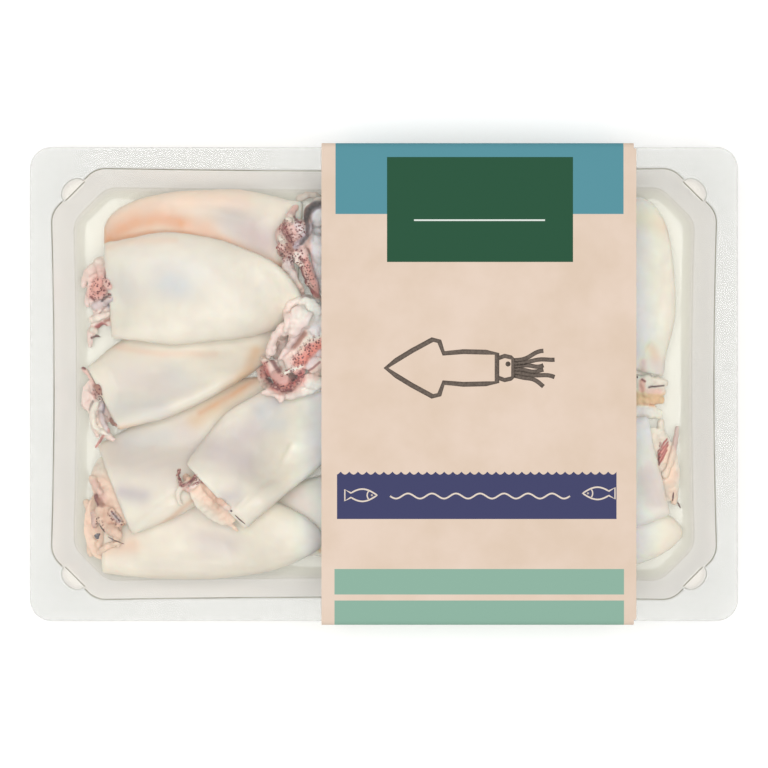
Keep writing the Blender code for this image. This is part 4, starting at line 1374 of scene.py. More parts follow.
def fillet_rings(outset, floor_z, crease):
    """Rings down the rounded foot of the wall, from its start to the floor, with a crease."""
    rings = []
    radius = BASE_FILLET + outset
    for k in range(FILLET_STEPS + 1):
        angle = math.pi / 2 * k / FILLET_STEPS
        inset = radius * (1 - math.cos(angle)) - outset
        z = floor_z + radius * (1 - math.sin(angle))
        if k == 0:
            rings.append(wall_ring(inset - crease, z + 2 * crease, 1.0))
            rings.append(wall_ring(inset + crease, z + crease, 1.0))
        rings.append(wall_ring(inset, z, 1.0))
    return rings


def lip_rings(radius):
    """Rings over the rounded inner edge of the flange and down to the wall."""
    rings = []
    for k in range(LIP_STEPS + 1):
        angle = math.pi / 2 * k / LIP_STEPS
        inset = radius * (math.sin(angle) - 1)
        z = FLANGE_Z - radius * (1 - math.cos(angle))
        rings.append(wall_ring(inset, z, 0.0))
    return rings


def tray_body(sheet):
    """The tray's outside as one solid: flange plate, drafted wall and floor."""
    half_x, half_y = TRAY_LENGTH / 2, TRAY_WIDTH / 2
    cut = FLANGE_RADIUS * EIGHTH_TURN_CUT
    ease = sheet / 4
    rings = []
    for inset, drop in ((ease, 0), (0, ease), (0, sheet - ease), (ease, sheet)):
        x, y, radius = half_x - inset, half_y - inset, FLANGE_RADIUS - inset
        rings.append(cut_corner_ring(x, y, cut, radius, FLANGE_Z - drop))
    rings.append(wall_ring(-sheet, FLANGE_Z - sheet, 0.0))
    rings += fillet_rings(sheet, BASE_Z, 0.0)
    return loft("tray", rings, FOLD_SHARP)


def tray_cavity(lip, sheet):
    """The space inside the tray as one solid, up through the mouth."""
    above = wall_ring(-lip, FLANGE_Z + 2 * sheet, 0.0)
    floor_z = BASE_Z + sheet
    rings = [above, *lip_rings(lip), *fillet_rings(0.0, floor_z, FOOT_CREASE)]
    return loft("cavity", rings, FOLD_SHARP)


def lug_prism(name, sx, sy, grow, inner, low_z, high_z):
    """A half-moon post at one cut corner: its bow faces out, its straight side in."""
    middle, out, along = lug_frame(sx, sy)
    half = LUG_LENGTH / 2 + grow
    reach = LUG_REACH + grow
    outline = [middle + along * half - out * inner]
    for k in range(LUG_STEPS + 1):
        angle = math.pi * k / LUG_STEPS
        outline.append(middle + along * half * math.cos(angle) + out * reach * math.sin(angle))
    outline.append(middle - along * half - out * inner)
    rings = [[(p.x, p.y, z) for p in outline] for z in (low_z, high_z)]
    return loft(name, rings)


def refraction_shade_lines(sheet):
    """Painted shade: dark rods along the rolled edges of the mouth and of the shelves' inner sides
    as one set, and fainter rods along the rims of the half-moon pockets as another."""
    ring = [Vector(point) for point in wall_ring(0.0, FLANGE_Z - LIP_DROP, 0.0)]
    dark, pale = bmesh.new(), bmesh.new()
    kept = []
    count = len(ring)
    for i, point in enumerate(ring):
        after = ring[(i + 1) % count]
        parts = max(1, math.ceil((after - point).length / ROD_STEP))
        kept += [point + (after - point) * k / parts for k in range(parts)]
    corners = [lug_frame(sx, sy) for sx in (1, -1) for sy in (1, -1)]
    runs, run = [], []
    for point in kept:
        if any(in_lug(point.xy, *corner) for corner in corners):
            if run:
                runs.append(run)
            run = []
        else:
            run.append(point)
    runs[0] = run + runs[0]
    for run in runs:
        tube(dark, run, [LIP_SHADE_RADIUS] * len(run), sides=8)
    shelf = FLANGE_Z - LUG_DEPTH + sheet
    for middle, out, along in corners:
        ends = [middle + along * LUG_LENGTH / 2 * side for side in (-0.97, 0.97)]
        chord = [(*(ends[0].lerp(ends[1], k / 8)), shelf) for k in range(9)]
        tube(dark, chord, [LIP_SHADE_RADIUS] * len(chord), sides=8)
        arc = []
        for k in range(LUG_STEPS + 1):
            angle = math.pi * k / LUG_STEPS
            spoke = along * LUG_LENGTH / 2 * math.cos(angle) + out * LUG_REACH * math.sin(angle)
            arc.append((*(middle + spoke), FLANGE_Z - LIP_DROP))
        tube(pale, arc, [LIP_SHADE_RADIUS * 0.8] * len(arc), sides=8)
    return mesh_from("lip", dark), mesh_from("rims", pale)


def lug_frame(sx, sy):
    """The middle of a cut corner, and the ways out of the tray and along the cut."""
    cut_middle = MOUTH_CUT / 2 + FLANGE_WIDTH
    middle = Vector((sx * (TRAY_LENGTH / 2 - cut_middle), sy * (TRAY_WIDTH / 2 - cut_middle)))
    out = Vector((sx, sy)).normalized()
    return middle, out, Vector((-out.y, out.x))


def in_lug(place, middle, out, along):
    """Whether a place lies within the half-moon of a cut corner."""
    gap = place - middle
    return abs(gap.dot(along)) < LUG_LENGTH / 2 and abs(gap.dot(out)) < LUG_REACH


def cut_with(target, operation, tools):
    """Applies a Boolean between a helper object and tool meshes; returns the new mesh."""
    collection = bpy.data.collections.new(operation)
    bpy.context.scene.collection.children.link(collection)
    for tool in tools:
        collection.objects.link(bpy.data.objects.new(tool.name, tool))
    helper = helper_object(target.name, target)
    modifier = helper.modifiers.new("cut", "BOOLEAN")
    modifier.operation = operation
    modifier.operand_type = "COLLECTION"
    modifier.collection = collection
    modifier.solver = "EXACT"
    mesh = evaluated_mesh(helper)
    for tool in list(collection.objects):
        bpy.data.objects.remove(tool, do_unlink=True)
    bpy.data.collections.remove(collection)
    return mesh


def card_top(x, y, crown):
    """Height of the sleeve's top face, which bulges a little between its folds."""
    middle = (SLEEVE_LEFT + SLEEVE_RIGHT) / 2
    across = np.clip(abs(x - middle) / ((SLEEVE_RIGHT - SLEEVE_LEFT) / 2), 0, 1)
    along = np.clip(abs(y) / SLEEVE_TOP_HALF, 0, 1)
    return SLEEVE_Z + crown * (1 - along**2) * (1 - 0.35 * across**2)


def sleeve_section():
    """The sleeve's middle line as (y, z) points with fine folds, and where its top face ends."""
    top_z = SLEEVE_Z - CARD / 2
    half = SLEEVE_TOP_HALF - CARD / 2
    inner_z = CARD / 2 + CARD + GAP
    corners = [
        Vector((LAP_INNER_END, inner_z)),
        Vector((-SLEEVE_BASE_HALF, inner_z)),
        Vector((-half, top_z)),
        Vector((half, top_z)),
        Vector((SLEEVE_BASE_HALF, CARD / 2)),
        Vector((LAP_OUTER_END, CARD / 2)),
    ]
    path = [(corners[0], False)]
    for i in range(1, len(corners) - 1):
        arc = rounded_corner(corners[i - 1], corners[i], corners[i + 1], SLEEVE_FOLD, FOLD_STEPS)
        for k, point in enumerate(arc):
            on_face = (i == 2 and k == FOLD_STEPS) or (i == 3 and k == 0)
            path.append((point, on_face))
    path.append((corners[-1], False))
    filled = [path[0]]
    for (a, a_face), (b, b_face) in zip(path, path[1:]):
        count = max(1, round((b - a).length / 0.005))
        for k in range(1, count):
            filled.append((a + (b - a) * k / count, a_face and b_face))
        filled.append((b, b_face))
    return filled


def film_height(x, y, sag):
    """How far the film hangs below its seal, and the slack waves in it."""
    half_x = TRAY_LENGTH / 2 - FLANGE_WIDTH - 0.003
    half_y = TRAY_WIDTH / 2 - FLANGE_WIDTH - 0.003
    u, v = np.clip(abs(x) / half_x, 0, 1), np.clip(abs(y) / half_y, 0, 1)
    inside = (1 - u**2) * (1 - v**2)
    ripple = np.sin(x * 160 + np.sin(y * 90) * 1.4) * np.sin(y * 70 + 1.0)
    return -sag * inside * (1 + 0.25 * ripple)


def rounded_plate(name, half_x, half_y, radius, low, thickness, height, rings=30):
    """A closed thin sheet with round corners, cut into rings so that it can hang."""
    corners = [(half_x, -half_y), (half_x, half_y), (-half_x, half_y), (-half_x, -half_y)]
    corners = [Vector(c) for c in corners]
    outline = []
    for i, corner in enumerate(corners):
        after = corners[(i + 1) % 4]
        arc = rounded_corner(corners[i - 1], corner, after, radius, 8)
        end = rounded_corner(corner, after, corners[(i + 2) % 4], radius, 8)[0]
        outline += arc
        outline += [arc[-1] + (end - arc[-1]) * k / 20 for k in range(1, 20)]
    bm = bmesh.new()
    sheets = []
    for lift in (thickness, 0.0):
        loops = []
        for k in range(rings):
            share = 1 - (k / rings)
            loop = []
            for p in outline:
                x, y = p.x * share, p.y * share
                loop.append(bm.verts.new((x, y, low + lift + float(height(x, y)))))
            loops.append(loop)
        centre = bm.verts.new((0, 0, low + lift + float(height(0.0, 0.0))))
        join_loops(bm, loops)
        for i in range(len(outline)):
            j = (i + 1) % len(outline)
            bm.faces.new((loops[-1][i], loops[-1][j], centre))
        sheets.append(loops[0])
    for i in range(len(outline)):
        j = (i + 1) % len(outline)
        bm.faces.new((sheets[0][i], sheets[1][i], sheets[1][j], sheets[0][j]))
    return mesh_from(name, bm, FILM_SHARP)


def ribbon(bm, path, width, crown, closed=False, depth=0.00003):
    """A flat printed line along a path of pixels, standing a hair above the card."""
    points = []
    for x, y in path:
        (px, _), (_, py) = card_span(x, x), card_span(y, y)
        points.append(Vector((px, -py)))
    count = len(points)
    sides = []
    for i, point in enumerate(points):
        before = points[i - 1] if closed or i else points[i]
        after = points[(i + 1) % count] if closed or i < count - 1 else points[i]
        ahead = (after - before).normalized()
        out = Vector((-ahead.y, ahead.x)) * width / 2
        corner = []
        for side in (out, -out):
            p = point + side
            z = float(card_top(p.x, p.y, crown))
            corner.append([bm.verts.new((p.x, p.y, z + lift)) for lift in (depth, -depth)])
        sides.append(corner)
    pairs = list(zip(sides, sides[1:])) + ([(sides[-1], sides[0])] if closed else [])
    for (a, b), (c, d) in pairs:
        bm.faces.new((a[0], c[0], d[0], b[0]))
        bm.faces.new((a[1], b[1], d[1], c[1]))
        bm.faces.new((a[0], a[1], c[1], c[0]))
        bm.faces.new((b[0], d[0], d[1], b[1]))
    if not closed:
        for a, b in (sides[0], sides[-1]):
            bm.faces.new((a[0], b[0], b[1], a[1]))


def small_circle(x, y, radius):
    """Eight points round a place."""
    angles = [math.pi * k / 4 for k in range(8)]
    return [(x + radius * math.cos(angle), y + radius * math.sin(angle)) for angle in angles]


def fish_lines(x, y, length, way):
    """A plain fish pictogram as closed lines: body and tail, gill and eye, from the nose."""
    deep = 0.19 * length
    root = 0.81 * length
    sides = [[], []]
    for k in range(17):
        u = root * k / 16
        v = deep * math.sin(math.pi * u / (0.915 * length))
        sides[0].append((u, -v))
        sides[1].append((u, v))
    tail = [(length, -deep * 0.92), (length, deep * 0.92)]
    body = sides[0] + tail + sides[1][:0:-1]
    gill = []
    for k in range(9):
        turn = (k - 4) / 4
        gill.append((0.26 * length + 0.05 * length * (1 - turn**2), 0.70 * deep * turn))
    eye = small_circle(0.165 * length, 0.0, 0.5)
    return [[(x + way * u, y + v) for u, v in line] for line in (body, gill, eye)]


def squid_lines(x, y, length):
    """A plain squid figure lying on its side, as lines: mantle with fins, head and arms."""
    mantle = [(0, 0), (0.06, 0.045), (0.15, 0.10), (0.27, 0.165), (0.31, 0.155), (0.335, 0.085)]
    mantle += [(0.45, 0.095), (0.58, 0.092), (0.645, 0.082)]
    upper = [(u, -v) for u, v in mantle]
    outline = mantle + upper[:0:-1]
    head = [(0.655, 0.058), (0.69, 0.070), (0.725, 0.062), (0.74, 0.05)]
    head = head + [(u, -v) for u, v in reversed(head)]
    lines = [(outline, True), (head, False)]
    for k in range(6):
        side = (k - 2.5) / 2.5
        arm = []
        for step in range(13):
            t = step / 12
            reach = 0.745 + (0.235 if k in (1, 4) else 0.17) * t
            swing = 0.012 * math.sin(t * 6.3 + k * 1.4) * t
            arm.append((reach, side * (0.045 + 0.055 * t**1.5) + swing))
        lines.append((arm, False))
    return [([(x + u * length, y + v * length) for u, v in line], shut) for line, shut in lines]


def sucker_tree(material):
    """Geometry Nodes: small rings stood on a head wherever its sucker mask is strong."""
    tree = bpy.data.node_groups.new("stand suckers on the arms", "GeometryNodeTree")
    sockets = {}
    face = tree.interface
    face.new_socket("Geometry", in_out="INPUT", socket_type="NodeSocketGeometry")
    for name, kind, default in (
        ("Rim radius", "NodeSocketFloat", 0.0004),
        ("Rim thickness", "NodeSocketFloat", 0.00014),
        ("Spacing", "NodeSocketFloat", 0.0009),
        ("Seed", "NodeSocketInt", 3),
    ):
        made = face.new_socket(name, in_out="INPUT", socket_type=kind)
        made.default_value = default
        sockets[name] = made.identifier
    face.new_socket("Geometry", in_out="OUTPUT", socket_type="NodeSocketGeometry")
    given = add(tree, "NodeGroupInput").outputs
    mask = add(tree, "GeometryNodeInputNamedAttribute", {"data_type": "FLOAT"}, {
        "Name": "suckers",
    }).outputs["Attribute"]
    spread = add(tree, "GeometryNodeDistributePointsOnFaces", {"distribute_method": "POISSON"}, {
        "Mesh": given["Geometry"], "Distance Min": given["Spacing"], "Density Max": 3.0e6,
        "Density Factor": mask, "Seed": given["Seed"],
    })
    circle = add(tree, "GeometryNodeCurvePrimitiveCircle", None, {
        "Resolution": 10, "Radius": given["Rim radius"],
    })
    profile = add(tree, "GeometryNodeCurvePrimitiveCircle", None, {
        "Resolution": 6, "Radius": given["Rim thickness"],
    })
    ring = add(tree, "GeometryNodeCurveToMesh", None, {
        "Curve": circle.outputs["Curve"], "Profile Curve": profile.outputs["Curve"],
    })
    size = add(tree, "FunctionNodeRandomValue", {"data_type": "FLOAT"}, {
        2: 0.7, 3: 1.15, "Seed": given["Seed"],
    })
    stood = add(tree, "GeometryNodeInstanceOnPoints", None, {
        "Points": spread.outputs["Points"], "Instance": ring.outputs["Mesh"],
        "Rotation": spread.outputs["Rotation"], "Scale": size.outputs[1],
    })
    real = add(tree, "GeometryNodeRealizeInstances", None, {
        "Geometry": stood.outputs["Instances"],
    })
    dressed = add(tree, "GeometryNodeSetMaterial", None, {
        "Geometry": real.outputs["Geometry"], "Material": material,
    })
    add(tree, "NodeGroupOutput", None, {"Geometry": dressed.outputs["Geometry"]})
    return tree, sockets


def length_of(name, description, default, least, most, precision=5):
    """A size that a user may change, in metres."""
    return FloatProperty(
        name=name, description=description, default=default, min=least, max=most,
        precision=precision, unit="LENGTH",
    )


def tint_of(name, description, hex_colour):
    """A colour that a user may change."""
    return FloatVectorProperty(
        name=name, description=description, default=linear(hex_colour), min=0, max=1,
        subtype="COLOR",
    )


def share_of(name, description, default):
    """A share from 0 to 1 that a user may change."""
    return FloatProperty(
        name=name, description=description, default=default, min=0, max=1, subtype="FACTOR",
    )


class SquidTraySizes(bpy.types.PropertyGroup):
    """Sizes of the pack's pieces"""

    sheet: length_of("Tray sheet", "Thickness of the tray's plastic", 0.0006, 0.0003, 0.001)
    lip: length_of("Lip radius", "Rounding of the flange's inner edge", 0.0006, 0.0002, 0.002)
    film_sag: length_of(
        "Film sag", "How far the lidding film hangs at its middle", 0.0009, 0.0, 0.003,
    )
    card_crown: length_of(
        "Card crown", "How far the sleeve's top face bulges", 0.00035, 0.0, 0.001,
    )
    mantle_cell: length_of("Mantle cell", "Mesh size on the mantles", 0.00055, 0.0003, 0.002)
    head_cell: length_of("Head cell", "Mesh size on the heads and arms", 0.00030, 0.0002, 0.001)
    fold_height: length_of(
        "Fold height", "Height of the slack folds in a mantle", 0.00032, 0.0, 0.001,
    )
    sucker_radius: length_of("Sucker radius", "Radius of a sucker's rim", 0.00036, 0.0002, 0.001)
    sucker_spacing: length_of(
        "Sucker spacing", "Least distance between suckers", 0.00095, 0.0005, 0.003,
    )
    sucker_seed: IntProperty(
        name="Sucker seed", description="Picks another spread of suckers", default=3, min=0,
    )


class SquidTrayLook(bpy.types.PropertyGroup):
    """Colours and finishes of the pack's pieces"""

    card: tint_of("Card", "The sleeve's beige", "E4CFBE")
    card_mottle: tint_of("Card mottle", "The beige's other shade", "DDC7B3")
    card_rule: tint_of("Rule", "The thin line in the green field", "DFE6DF")
    blue: tint_of("Blue field", "The field at the sleeve's far end", "55919D")
    green: tint_of("Green field", "The plaque on the blue field", "235239")
    navy: tint_of("Navy band", "The scalloped band", "3F4167")
    mint: tint_of("Mint bands", "The two bands at the near end", "8BB09E")
    brown: tint_of("Brown ink", "The figure on the card", "5B5048")
    pale_ink: tint_of("Pale ink", "The lines in the navy band", "E8DACB")
    scallop_pitch: length_of(
        "Scallop pitch", "Distance between the navy band's points", 0.00280, 0.001, 0.02,
    )
    scallop_depth: length_of(
        "Scallop depth", "Depth of the bites in the navy band's far edge", 0.00095, 0.0, 0.01,
    )
    tray_tint: tint_of("Tray tint", "The tray plastic's own colour", "E8D9BE")
    flange_tint: tint_of("Flange tint", "The sealed flange's own colour", "BEBFB8")
    flange_density: share_of("Flange density", "How dense the sealed flange looks", 0.40)
    floor_tint: tint_of("Floor tint", "The colour of the tray's wet floor", "E3E1CC")
    floor_density: share_of("Floor density", "How dense the tray's wet floor looks", 0.31)
    tray_clear: share_of("Tray face on", "How dense the tray looks face on", 0.18)
    tray_edge: share_of("Tray at a glance", "How dense the tray looks at a grazing angle", 0.19)
    film_clear: share_of("Film face on", "How dense the film looks face on", 0.03)
    film_edge: share_of("Film at a glance", "How dense the film looks at a grazing angle", 0.4)
    mottle_size: length_of(
        "Mottle size", "Size of the faint mottling on a mantle", 0.006, 0.001, 0.03, 4,
    )
    depth_share: share_of("Milkiness", "Share of light that travels inside the flesh", 0.50)
    light_depth: length_of(
        "Light depth", "How far light travels inside the flesh", 0.0030, 0.0, 0.01, 4,
    )
    freckle_spacing: length_of(
        "Freckle spacing", "Distance between freckles on the skin", 0.00092, 0.0005, 0.005,
    )


class FormTray(bpy.types.Operator):
    """Forms the clear tray with its corner ledges"""

    bl_idname = "squid_tray.form_tray"
    bl_label = "Form Clear Tray"

    def execute(self, context):
        sizes, look = context.scene.squid_tray_sizes, context.scene.squid_tray_look
        sheet = sizes.sheet
        shelf = FLANGE_Z - LUG_DEPTH
        posts, cutters = [], [tray_cavity(sizes.lip, sheet)]
        for sx in (1, -1):
            for sy in (1, -1):
                low, high = shelf - sheet, FLANGE_Z - sheet / 2
                posts.append(lug_prism("post", sx, sy, sheet, LUG_REACH, low, high))
                reach, top = 2 * LUG_REACH, FLANGE_Z + sheet
                cutters.append(lug_prism("pocket", sx, sy, 0.0, reach, shelf, top))
        joined = cut_with(tray_body(sheet), "UNION", posts)
        mesh = cut_with(joined, "DIFFERENCE", cutters)
        mesh.shade_smooth()
        mesh.set_sharp_from_angle(angle=math.radians(TRAY_SHARP))
        plastic = make_tray_plastic(look)
        add_piece("clear_tray", mesh, [plastic], ["tray"])
        # Painted shade: dark rods where the tray's bends turn the light aside
        lip, rims = refraction_shade_lines(sheet)
        edge = make_refraction_shade_line("rolled edge of clear PET", "85846F")
        add_piece("tray_lip", lip, [edge])
        rim = make_refraction_shade_line("pocket rim of clear PET", "A5A69A")
        add_piece("tray_pocket_rims", rims, [rim])
        return {"FINISHED"}


class SealFilm(bpy.types.Operator):
    """Seals the lidding film to the flange"""

    bl_idname = "squid_tray.seal_film"
    bl_label = "Seal Lidding Film"

    def execute(self, context):
        sizes, look = context.scene.squid_tray_sizes, context.scene.squid_tray_look
        half_x, half_y = TRAY_LENGTH / 2 - FILM_INSET, TRAY_WIDTH / 2 - FILM_INSET
        radius = FLANGE_RADIUS - FILM_INSET
        sag = sizes.film_sag
        mesh = rounded_plate(
            "film", half_x, half_y, radius, FILM_Z, FILM, lambda x, y: film_height(x, y, sag)
        )
        add_piece("lidding_film", mesh, [make_film(look)], ["film"])
        return {"FINISHED"}


class LayMantles(bpy.types.Operator):
    """Lays the squid mantles with their folds and tints"""

    bl_idname = "squid_tray.lay_mantles"
    bl_label = "Lay Mantles"

    def execute(self, context):
        sizes, look = context.scene.squid_tray_sizes, context.scene.squid_tray_look
        lay_cad_flesh()
        material = make_mantle_flesh(look)
        names = sorted(n for n in frame["nodes"] if n.startswith("mantle_"))
        made = {}
        for seed, name in enumerate(names):
            solid = rounded_copy(name)
            mesh = fleshed_mesh(name, solid, sizes.mantle_cell, MANTLE_SMOOTHING)
            points, normals = points_of(mesh), normals_of(mesh)
            pixels = seen_at(points)
            folds = sizes.fold_height * rolling(points, FOLD_LENGTH, seed)
            fine = sizes.fold_height * FINE_FOLD_SHARE
            folds += fine * rolling(points, FINE_FOLD_LENGTH, seed + 50)
            upward = np.clip(normals[:, 2] * 2, 0, 1)
            for width, depth, path in MANTLE_FOLDS.get(name, []):
                folds -= depth * wash(pixels, path, width) * upward
            near = neighbour_nearness(name, points, CONTACT_REACH)
            folds = np.where(folds > 0, folds * (1 - near), folds) + CONTACT_SWELL * (1 - near)
            move_points(mesh, points + normals * folds[:, None])
            colours = painted(pixels, "cream", MANTLE_WASHES.get(name, []), 2)
            # Painted shade: where another mantle touches, the colour turns towards the crease_shade
            # tint, less on upward faces
            level = np.clip(normals[:, 2], 0, 1) ** 2 * 0.6
            painted_crease_shade = (CONTACT_PAINTED_SHADE * near * (1 - level))[:, None]
            colours = colours * (1 - painted_crease_shade) + np.array(linear(TINTS["crease_shade"])) * painted_crease_shade
            give_attribute(mesh, "flesh", "FLOAT_COLOR", colours)
            made[name] = mesh
        for name, mesh in made.items():
            FLESH.put(name, mesh)
            piece_name = name.replace("mantle_", "squid_mantle_")
            add_piece(piece_name, mesh, [material], [name])
        return {"FINISHED"}


class LayHeads(bpy.types.Operator):
    """Lays the heads and arms with their freckled skin"""

    bl_idname = "squid_tray.lay_heads"
    bl_label = "Lay Heads and Arms"

    def execute(self, context):
        sizes, look = context.scene.squid_tray_sizes, context.scene.squid_tray_look
        material = make_arm_flesh(look)
        names = sorted(n for n in frame["nodes"] if n.startswith("head_"))
        made = {}
        for seed, name in enumerate(names):
            bm = rounded_copy(name)
            for radius, clear, path in HEAD_STRANDS[name]:
                flat = min(1.0, max(STRAND_FLATTEST, STRAND_HEIGHT / radius))
                points = FLESH.lay(path, radius * flat, clear)
                shares = np.linspace(0, 1, len(points))
                swell = 1 + 0.12 * np.sin(shares * 17 + seed)
                radii = radius * (1 - 0.35 * shares**2) * swell
                tube(bm, points, radii.tolist(), flat=flat)
            mesh = fleshed_mesh(name, bm, sizes.head_cell, HEAD_SMOOTHING)
            points, normals = points_of(mesh), normals_of(mesh)
            wrinkles = sum(
                height * rolling(points, length, seed + more) for height, length, more in WRINKLES
            )
            move_points(mesh, points + normals * wrinkles[:, None])
            pixels = seen_at(points)
            base, paint = HEAD_BASES[name], HEAD_PAINT[name]
            give_attribute(mesh, "flesh", "FLOAT_COLOR", painted(pixels, base, paint, 4))
            freckles = masked(pixels, FRECKLED.get(name, []))
            give_attribute(mesh, "freckles", "FLOAT", freckles)
            upward = np.clip(normals[:, 2] * 3, 0, 1)
            suckers = masked(pixels, SUCKERED.get(name, [])) * upward
            give_attribute(mesh, "suckers", "FLOAT", suckers)
            made[name] = mesh
        for name, mesh in made.items():
            FLESH.put(name, mesh)
            piece_name = name.replace("head_", "squid_head_")
            add_piece(piece_name, mesh, [material], [name])
        return {"FINISHED"}


class StandSuckers(bpy.types.Operator):
    """Stands sucker rims on the arms"""

    bl_idname = "squid_tray.stand_suckers"
    bl_label = "Stand Suckers"

    def execute(self, context):
        sizes = context.scene.squid_tray_sizes
        material = make_sucker_flesh()
        tree, sockets = sucker_tree(material)
        bm = bmesh.new()
        for name in sorted(SUCKERED):
            piece = bpy.data.objects[name.replace("head_", "squid_head_")]
            helper = helper_object(name, piece.data.copy())
            modifier = helper.modifiers.new("suckers", "NODES")
            modifier.node_group = tree
            modifier[sockets["Rim radius"]] = sizes.sucker_radius
            modifier[sockets["Rim thickness"]] = sizes.sucker_radius * RIM_SHARE
            modifier[sockets["Spacing"]] = sizes.sucker_spacing
            modifier[sockets["Seed"]] = sizes.sucker_seed
            mesh = evaluated_mesh(helper)
            bm.from_mesh(mesh)
        if not bm.verts:
            raise RuntimeError("no suckers were made")
        mesh = mesh_from("suckers", bm)
        add_piece("squid_suckers", mesh, [material])
        return {"FINISHED"}


class LayThreads(bpy.types.Operator):
    """Lays the dark threads and the eye in the flesh"""

    bl_idname = "squid_tray.lay_threads"
    bl_label = "Lay Threads and Eye"

    def execute(self, context):
        bm = bmesh.new()
        for radius, path in HAIRLINES:
            points = FLESH.lay(path, radius, 0.0, step=1.0)
            shares = np.linspace(0, 1, len(points))
            radii = radius * (1 - 0.6 * abs(2 * shares - 1) ** 2)
            tube(bm, points, radii.tolist(), sides=8)
        mesh = mesh_from("threads", bm)
        add_piece("ink_threads", mesh, [make_dark_line()])
        place, normal = FLESH.under(*EYE_PIXEL)
        bm = bmesh.new()
        bmesh.ops.create_uvsphere(bm, u_segments=24, v_segments=16, radius=1.0)
        turn = normal.to_track_quat("Z", "Y")
        for vertex in bm.verts:
            bulge = 1 + 0.20 * math.sin(4 * vertex.co.x + 3 * vertex.co.y)
            shape = Vector([c * half for c, half in zip(vertex.co, EYE_HALVES)])
            vertex.co = place + turn @ (shape * bulge)
        mesh = mesh_from("eye", bm)
        add_piece("squid_eye", mesh, [make_eye()])
        return {"FINISHED"}


class FoldSleeve(bpy.types.Operator):
    """Folds the printed card sleeve round the tray"""

    bl_idname = "squid_tray.fold_sleeve"
    bl_label = "Fold Card Sleeve"

    def execute(self, context):
        sizes, look = context.scene.squid_tray_sizes, context.scene.squid_tray_look
        crown = sizes.card_crown
        section = sleeve_section()
        columns = np.linspace(SLEEVE_LEFT, SLEEVE_RIGHT, CARD_STEPS + 1)
        bm = bmesh.new()
        grid = []
        for point, on_face in section:
            row = []
            for x in columns:
                lift = 0.0
                if on_face:
                    lift = float(card_top(x, point.x, crown)) - SLEEVE_Z
                row.append(bm.verts.new((x, point.x, point.y + lift)))
            if on_face:
                x = SLEEVE_RIGHT + SLEEVE_FACE_LIP
                lift = float(card_top(x, point.x, crown)) - SLEEVE_Z
                row.append(bm.verts.new((x, point.x, point.y + lift)))
            grid.append(row)
        for lower, upper in zip(grid, grid[1:]):
            for i in range(min(len(lower), len(upper)) - 1):
                bm.faces.new((lower[i], lower[i + 1], upper[i + 1], upper[i]))
        strip = mesh_from("sleeve", bm)
        helper = helper_object("sleeve", strip)
        printed = make_printed_card(look)
        inside = make_board("unprinted board", "D9D2C6", "C9C1B3")
        edge = make_board("cut board edge", "E6DDCF", "CFC4B4")
        for material in (printed, inside, edge):
            strip.materials.append(material)
        card = helper.modifiers.new("card", "SOLIDIFY")
        card.thickness = CARD
        card.offset = 0.0
        card.use_even_offset = True
        card.material_offset = 1
        card.material_offset_rim = 2
        mesh = evaluated_mesh(helper)
        mesh.shade_smooth()
        mesh.set_sharp_from_angle(angle=math.radians(FOLD_SHARP))
        mesh.name = "card_sleeve"
        piece = helper_object("card_sleeve", mesh)
        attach(piece, BODY)
        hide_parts("sleeve")
        return {"FINISHED"}


class PrintFigures(bpy.types.Operator):
    """Prints the plain figures on the sleeve"""

    bl_idname = "squid_tray.print_figures"
    bl_label = "Print Figures"

    def execute(self, context):
        sizes, look = context.scene.squid_tray_sizes, context.scene.squid_tray_look
        crown = sizes.card_crown
        bm = bmesh.new()
        for nose, row, way in FISH:
            body, gill, eye = fish_lines(nose, row, FISH_LENGTH, way)
            ribbon(bm, body, 0.00052, crown, closed=True)
            ribbon(bm, gill, 0.00042, crown)
            ribbon(bm, eye, 0.00036, crown, closed=True)
        wave = [(390 + k, 496 + 2.6 * math.sin(k * 2 * math.pi / 24)) for k in range(0, 181, 2)]
        ribbon(bm, wave, 0.00055, crown)
        mesh = mesh_from("pale", bm)
        pale = make_ink("pale printing ink", look.pale_ink)
        add_piece("printed_fish", mesh, [pale])
        bm = bmesh.new()
        for line, shut in squid_lines(*FIGURE_TIP, FIGURE_LENGTH):
            ribbon(bm, line, 0.0016 if shut else 0.0014, crown, closed=shut)
        ribbon(bm, small_circle(*FIGURE_EYE), 0.0009, crown, closed=True)
        mesh = mesh_from("brown", bm)
        brown = make_ink("brown printing ink", look.brown)
        add_piece("printed_squid", mesh, [brown])
        return {"FINISHED"}


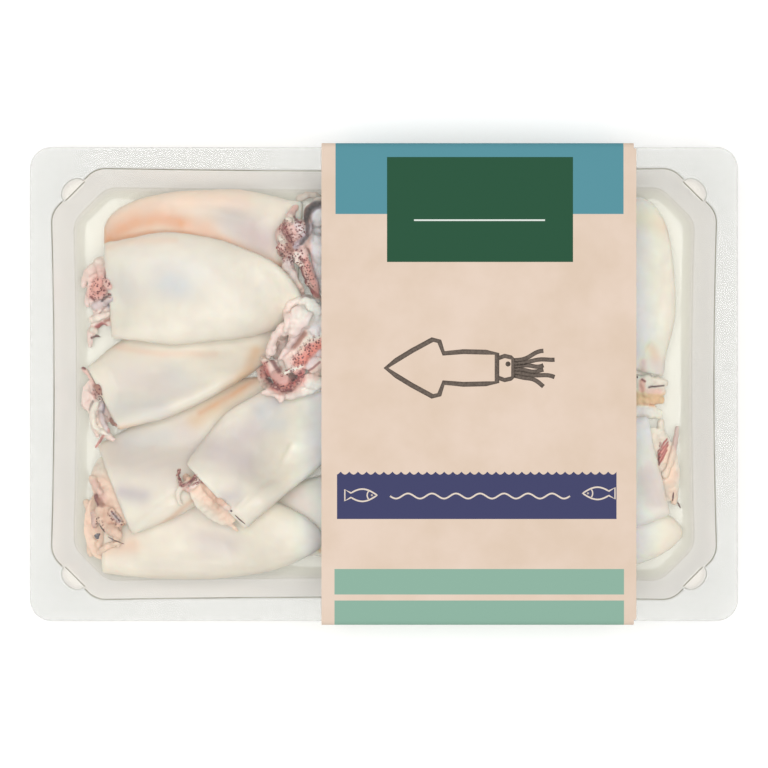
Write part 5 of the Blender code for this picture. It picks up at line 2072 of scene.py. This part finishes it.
class SetStage(bpy.types.Operator):
    """Sets the floor, the studio light and the camera"""

    bl_idname = "squid_tray.set_stage"
    bl_label = "Set Stage"

    def execute(self, context):
        scene = context.scene
        scene.view_settings.view_transform = "Standard"
        scene.view_settings.look = "None"
        scene.view_settings.exposure = 0.0
        scene.view_settings.gamma = 1.0
        bm = bmesh.new()
        bmesh.ops.create_grid(bm, x_segments=2, y_segments=2, size=TABLE_SIZE)
        mesh = bpy.data.meshes.new("floor")
        bm.to_mesh(mesh)
        bm.free()
        material, tree = new_surface("lit white acrylic table")
        shader = add(tree, "ShaderNodeBsdfPrincipled", None, {
            "Base Color": (0.95, 0.95, 0.95, 1.0), "Roughness": 0.9, "Specular IOR Level": 0.0,
            "Emission Color": (1.0, 0.99, 0.96, 1.0), "Emission Strength": TABLE_GLOW,
        })
        finish_surface(tree, shader)
        mesh.materials.append(material)
        floor = helper_object("floor", mesh)
        mesh.transform(floor.matrix_world)
        for vertex in mesh.vertices:
            vertex.co.z = TABLE_Z
        world = bpy.data.worlds.new("soft studio")
        scene.world = world
        world.use_nodes = True
        sky = world.node_tree.nodes["Background"].inputs
        sky["Color"].default_value = (1.0, 1.0, 1.0, 1.0)
        sky["Strength"].default_value = ROOM_LIGHT
        for name, place, size, power in SOFTBOXES:
            lamp = bpy.data.lights.new(name, "AREA")
            lamp.shape = "SQUARE"
            lamp.size = size
            lamp.energy = power
            light = helper_object(name, lamp)
            light.location = place
            aim = Vector((0, 0, 0.02)) - Vector(place)
            light.rotation_mode = "QUATERNION"
            light.rotation_quaternion = aim.to_track_quat("-Z", "Y")
        lens = bpy.data.cameras.new("camera")
        lens.sensor_width = SENSOR
        lens.lens = SENSOR * CAMERA_ABOVE / (IMAGE * PIXEL)
        lens.clip_start, lens.clip_end = 0.05, 20.0
        camera = helper_object("camera", lens)
        camera.location = CAMERA_PLACE
        scene.camera = camera
        return {"FINISHED"}


OPERATORS = (
    SetStage,
    FormTray,
    LayMantles,
    LayHeads,
    StandSuckers,
    LayThreads,
    SealFilm,
    FoldSleeve,
    PrintFigures,
)


class SquidTrayPanel(bpy.types.Panel):
    """Lists the makers of the pack's pieces"""

    bl_idname = "VIEW3D_PT_squid_tray"
    bl_label = "Squid Tray"
    bl_space_type = "VIEW_3D"
    bl_region_type = "UI"
    bl_category = "Squid Tray"

    def draw(self, context):
        column = self.layout.column(align=True)
        for operator in OPERATORS:
            column.operator(operator.bl_idname)
        for group in (context.scene.squid_tray_sizes, context.scene.squid_tray_look):
            box = self.layout.box()
            for name in group.__annotations__:
                box.prop(group, name)


CLASSES = (SquidTraySizes, SquidTrayLook, *OPERATORS, SquidTrayPanel)


def register():
    for cls in CLASSES:
        bpy.utils.register_class(cls)
    bpy.types.Scene.squid_tray_sizes = PointerProperty(type=SquidTraySizes)
    bpy.types.Scene.squid_tray_look = PointerProperty(type=SquidTrayLook)


def unregister():
    del bpy.types.Scene.squid_tray_look
    del bpy.types.Scene.squid_tray_sizes
    for cls in reversed(CLASSES):
        bpy.utils.unregister_class(cls)


def main():
    register()
    for operator in OPERATORS:
        space, action = operator.bl_idname.split(".")
        getattr(getattr(bpy.ops, space), action)()


if __name__ == "__main__":
    main()
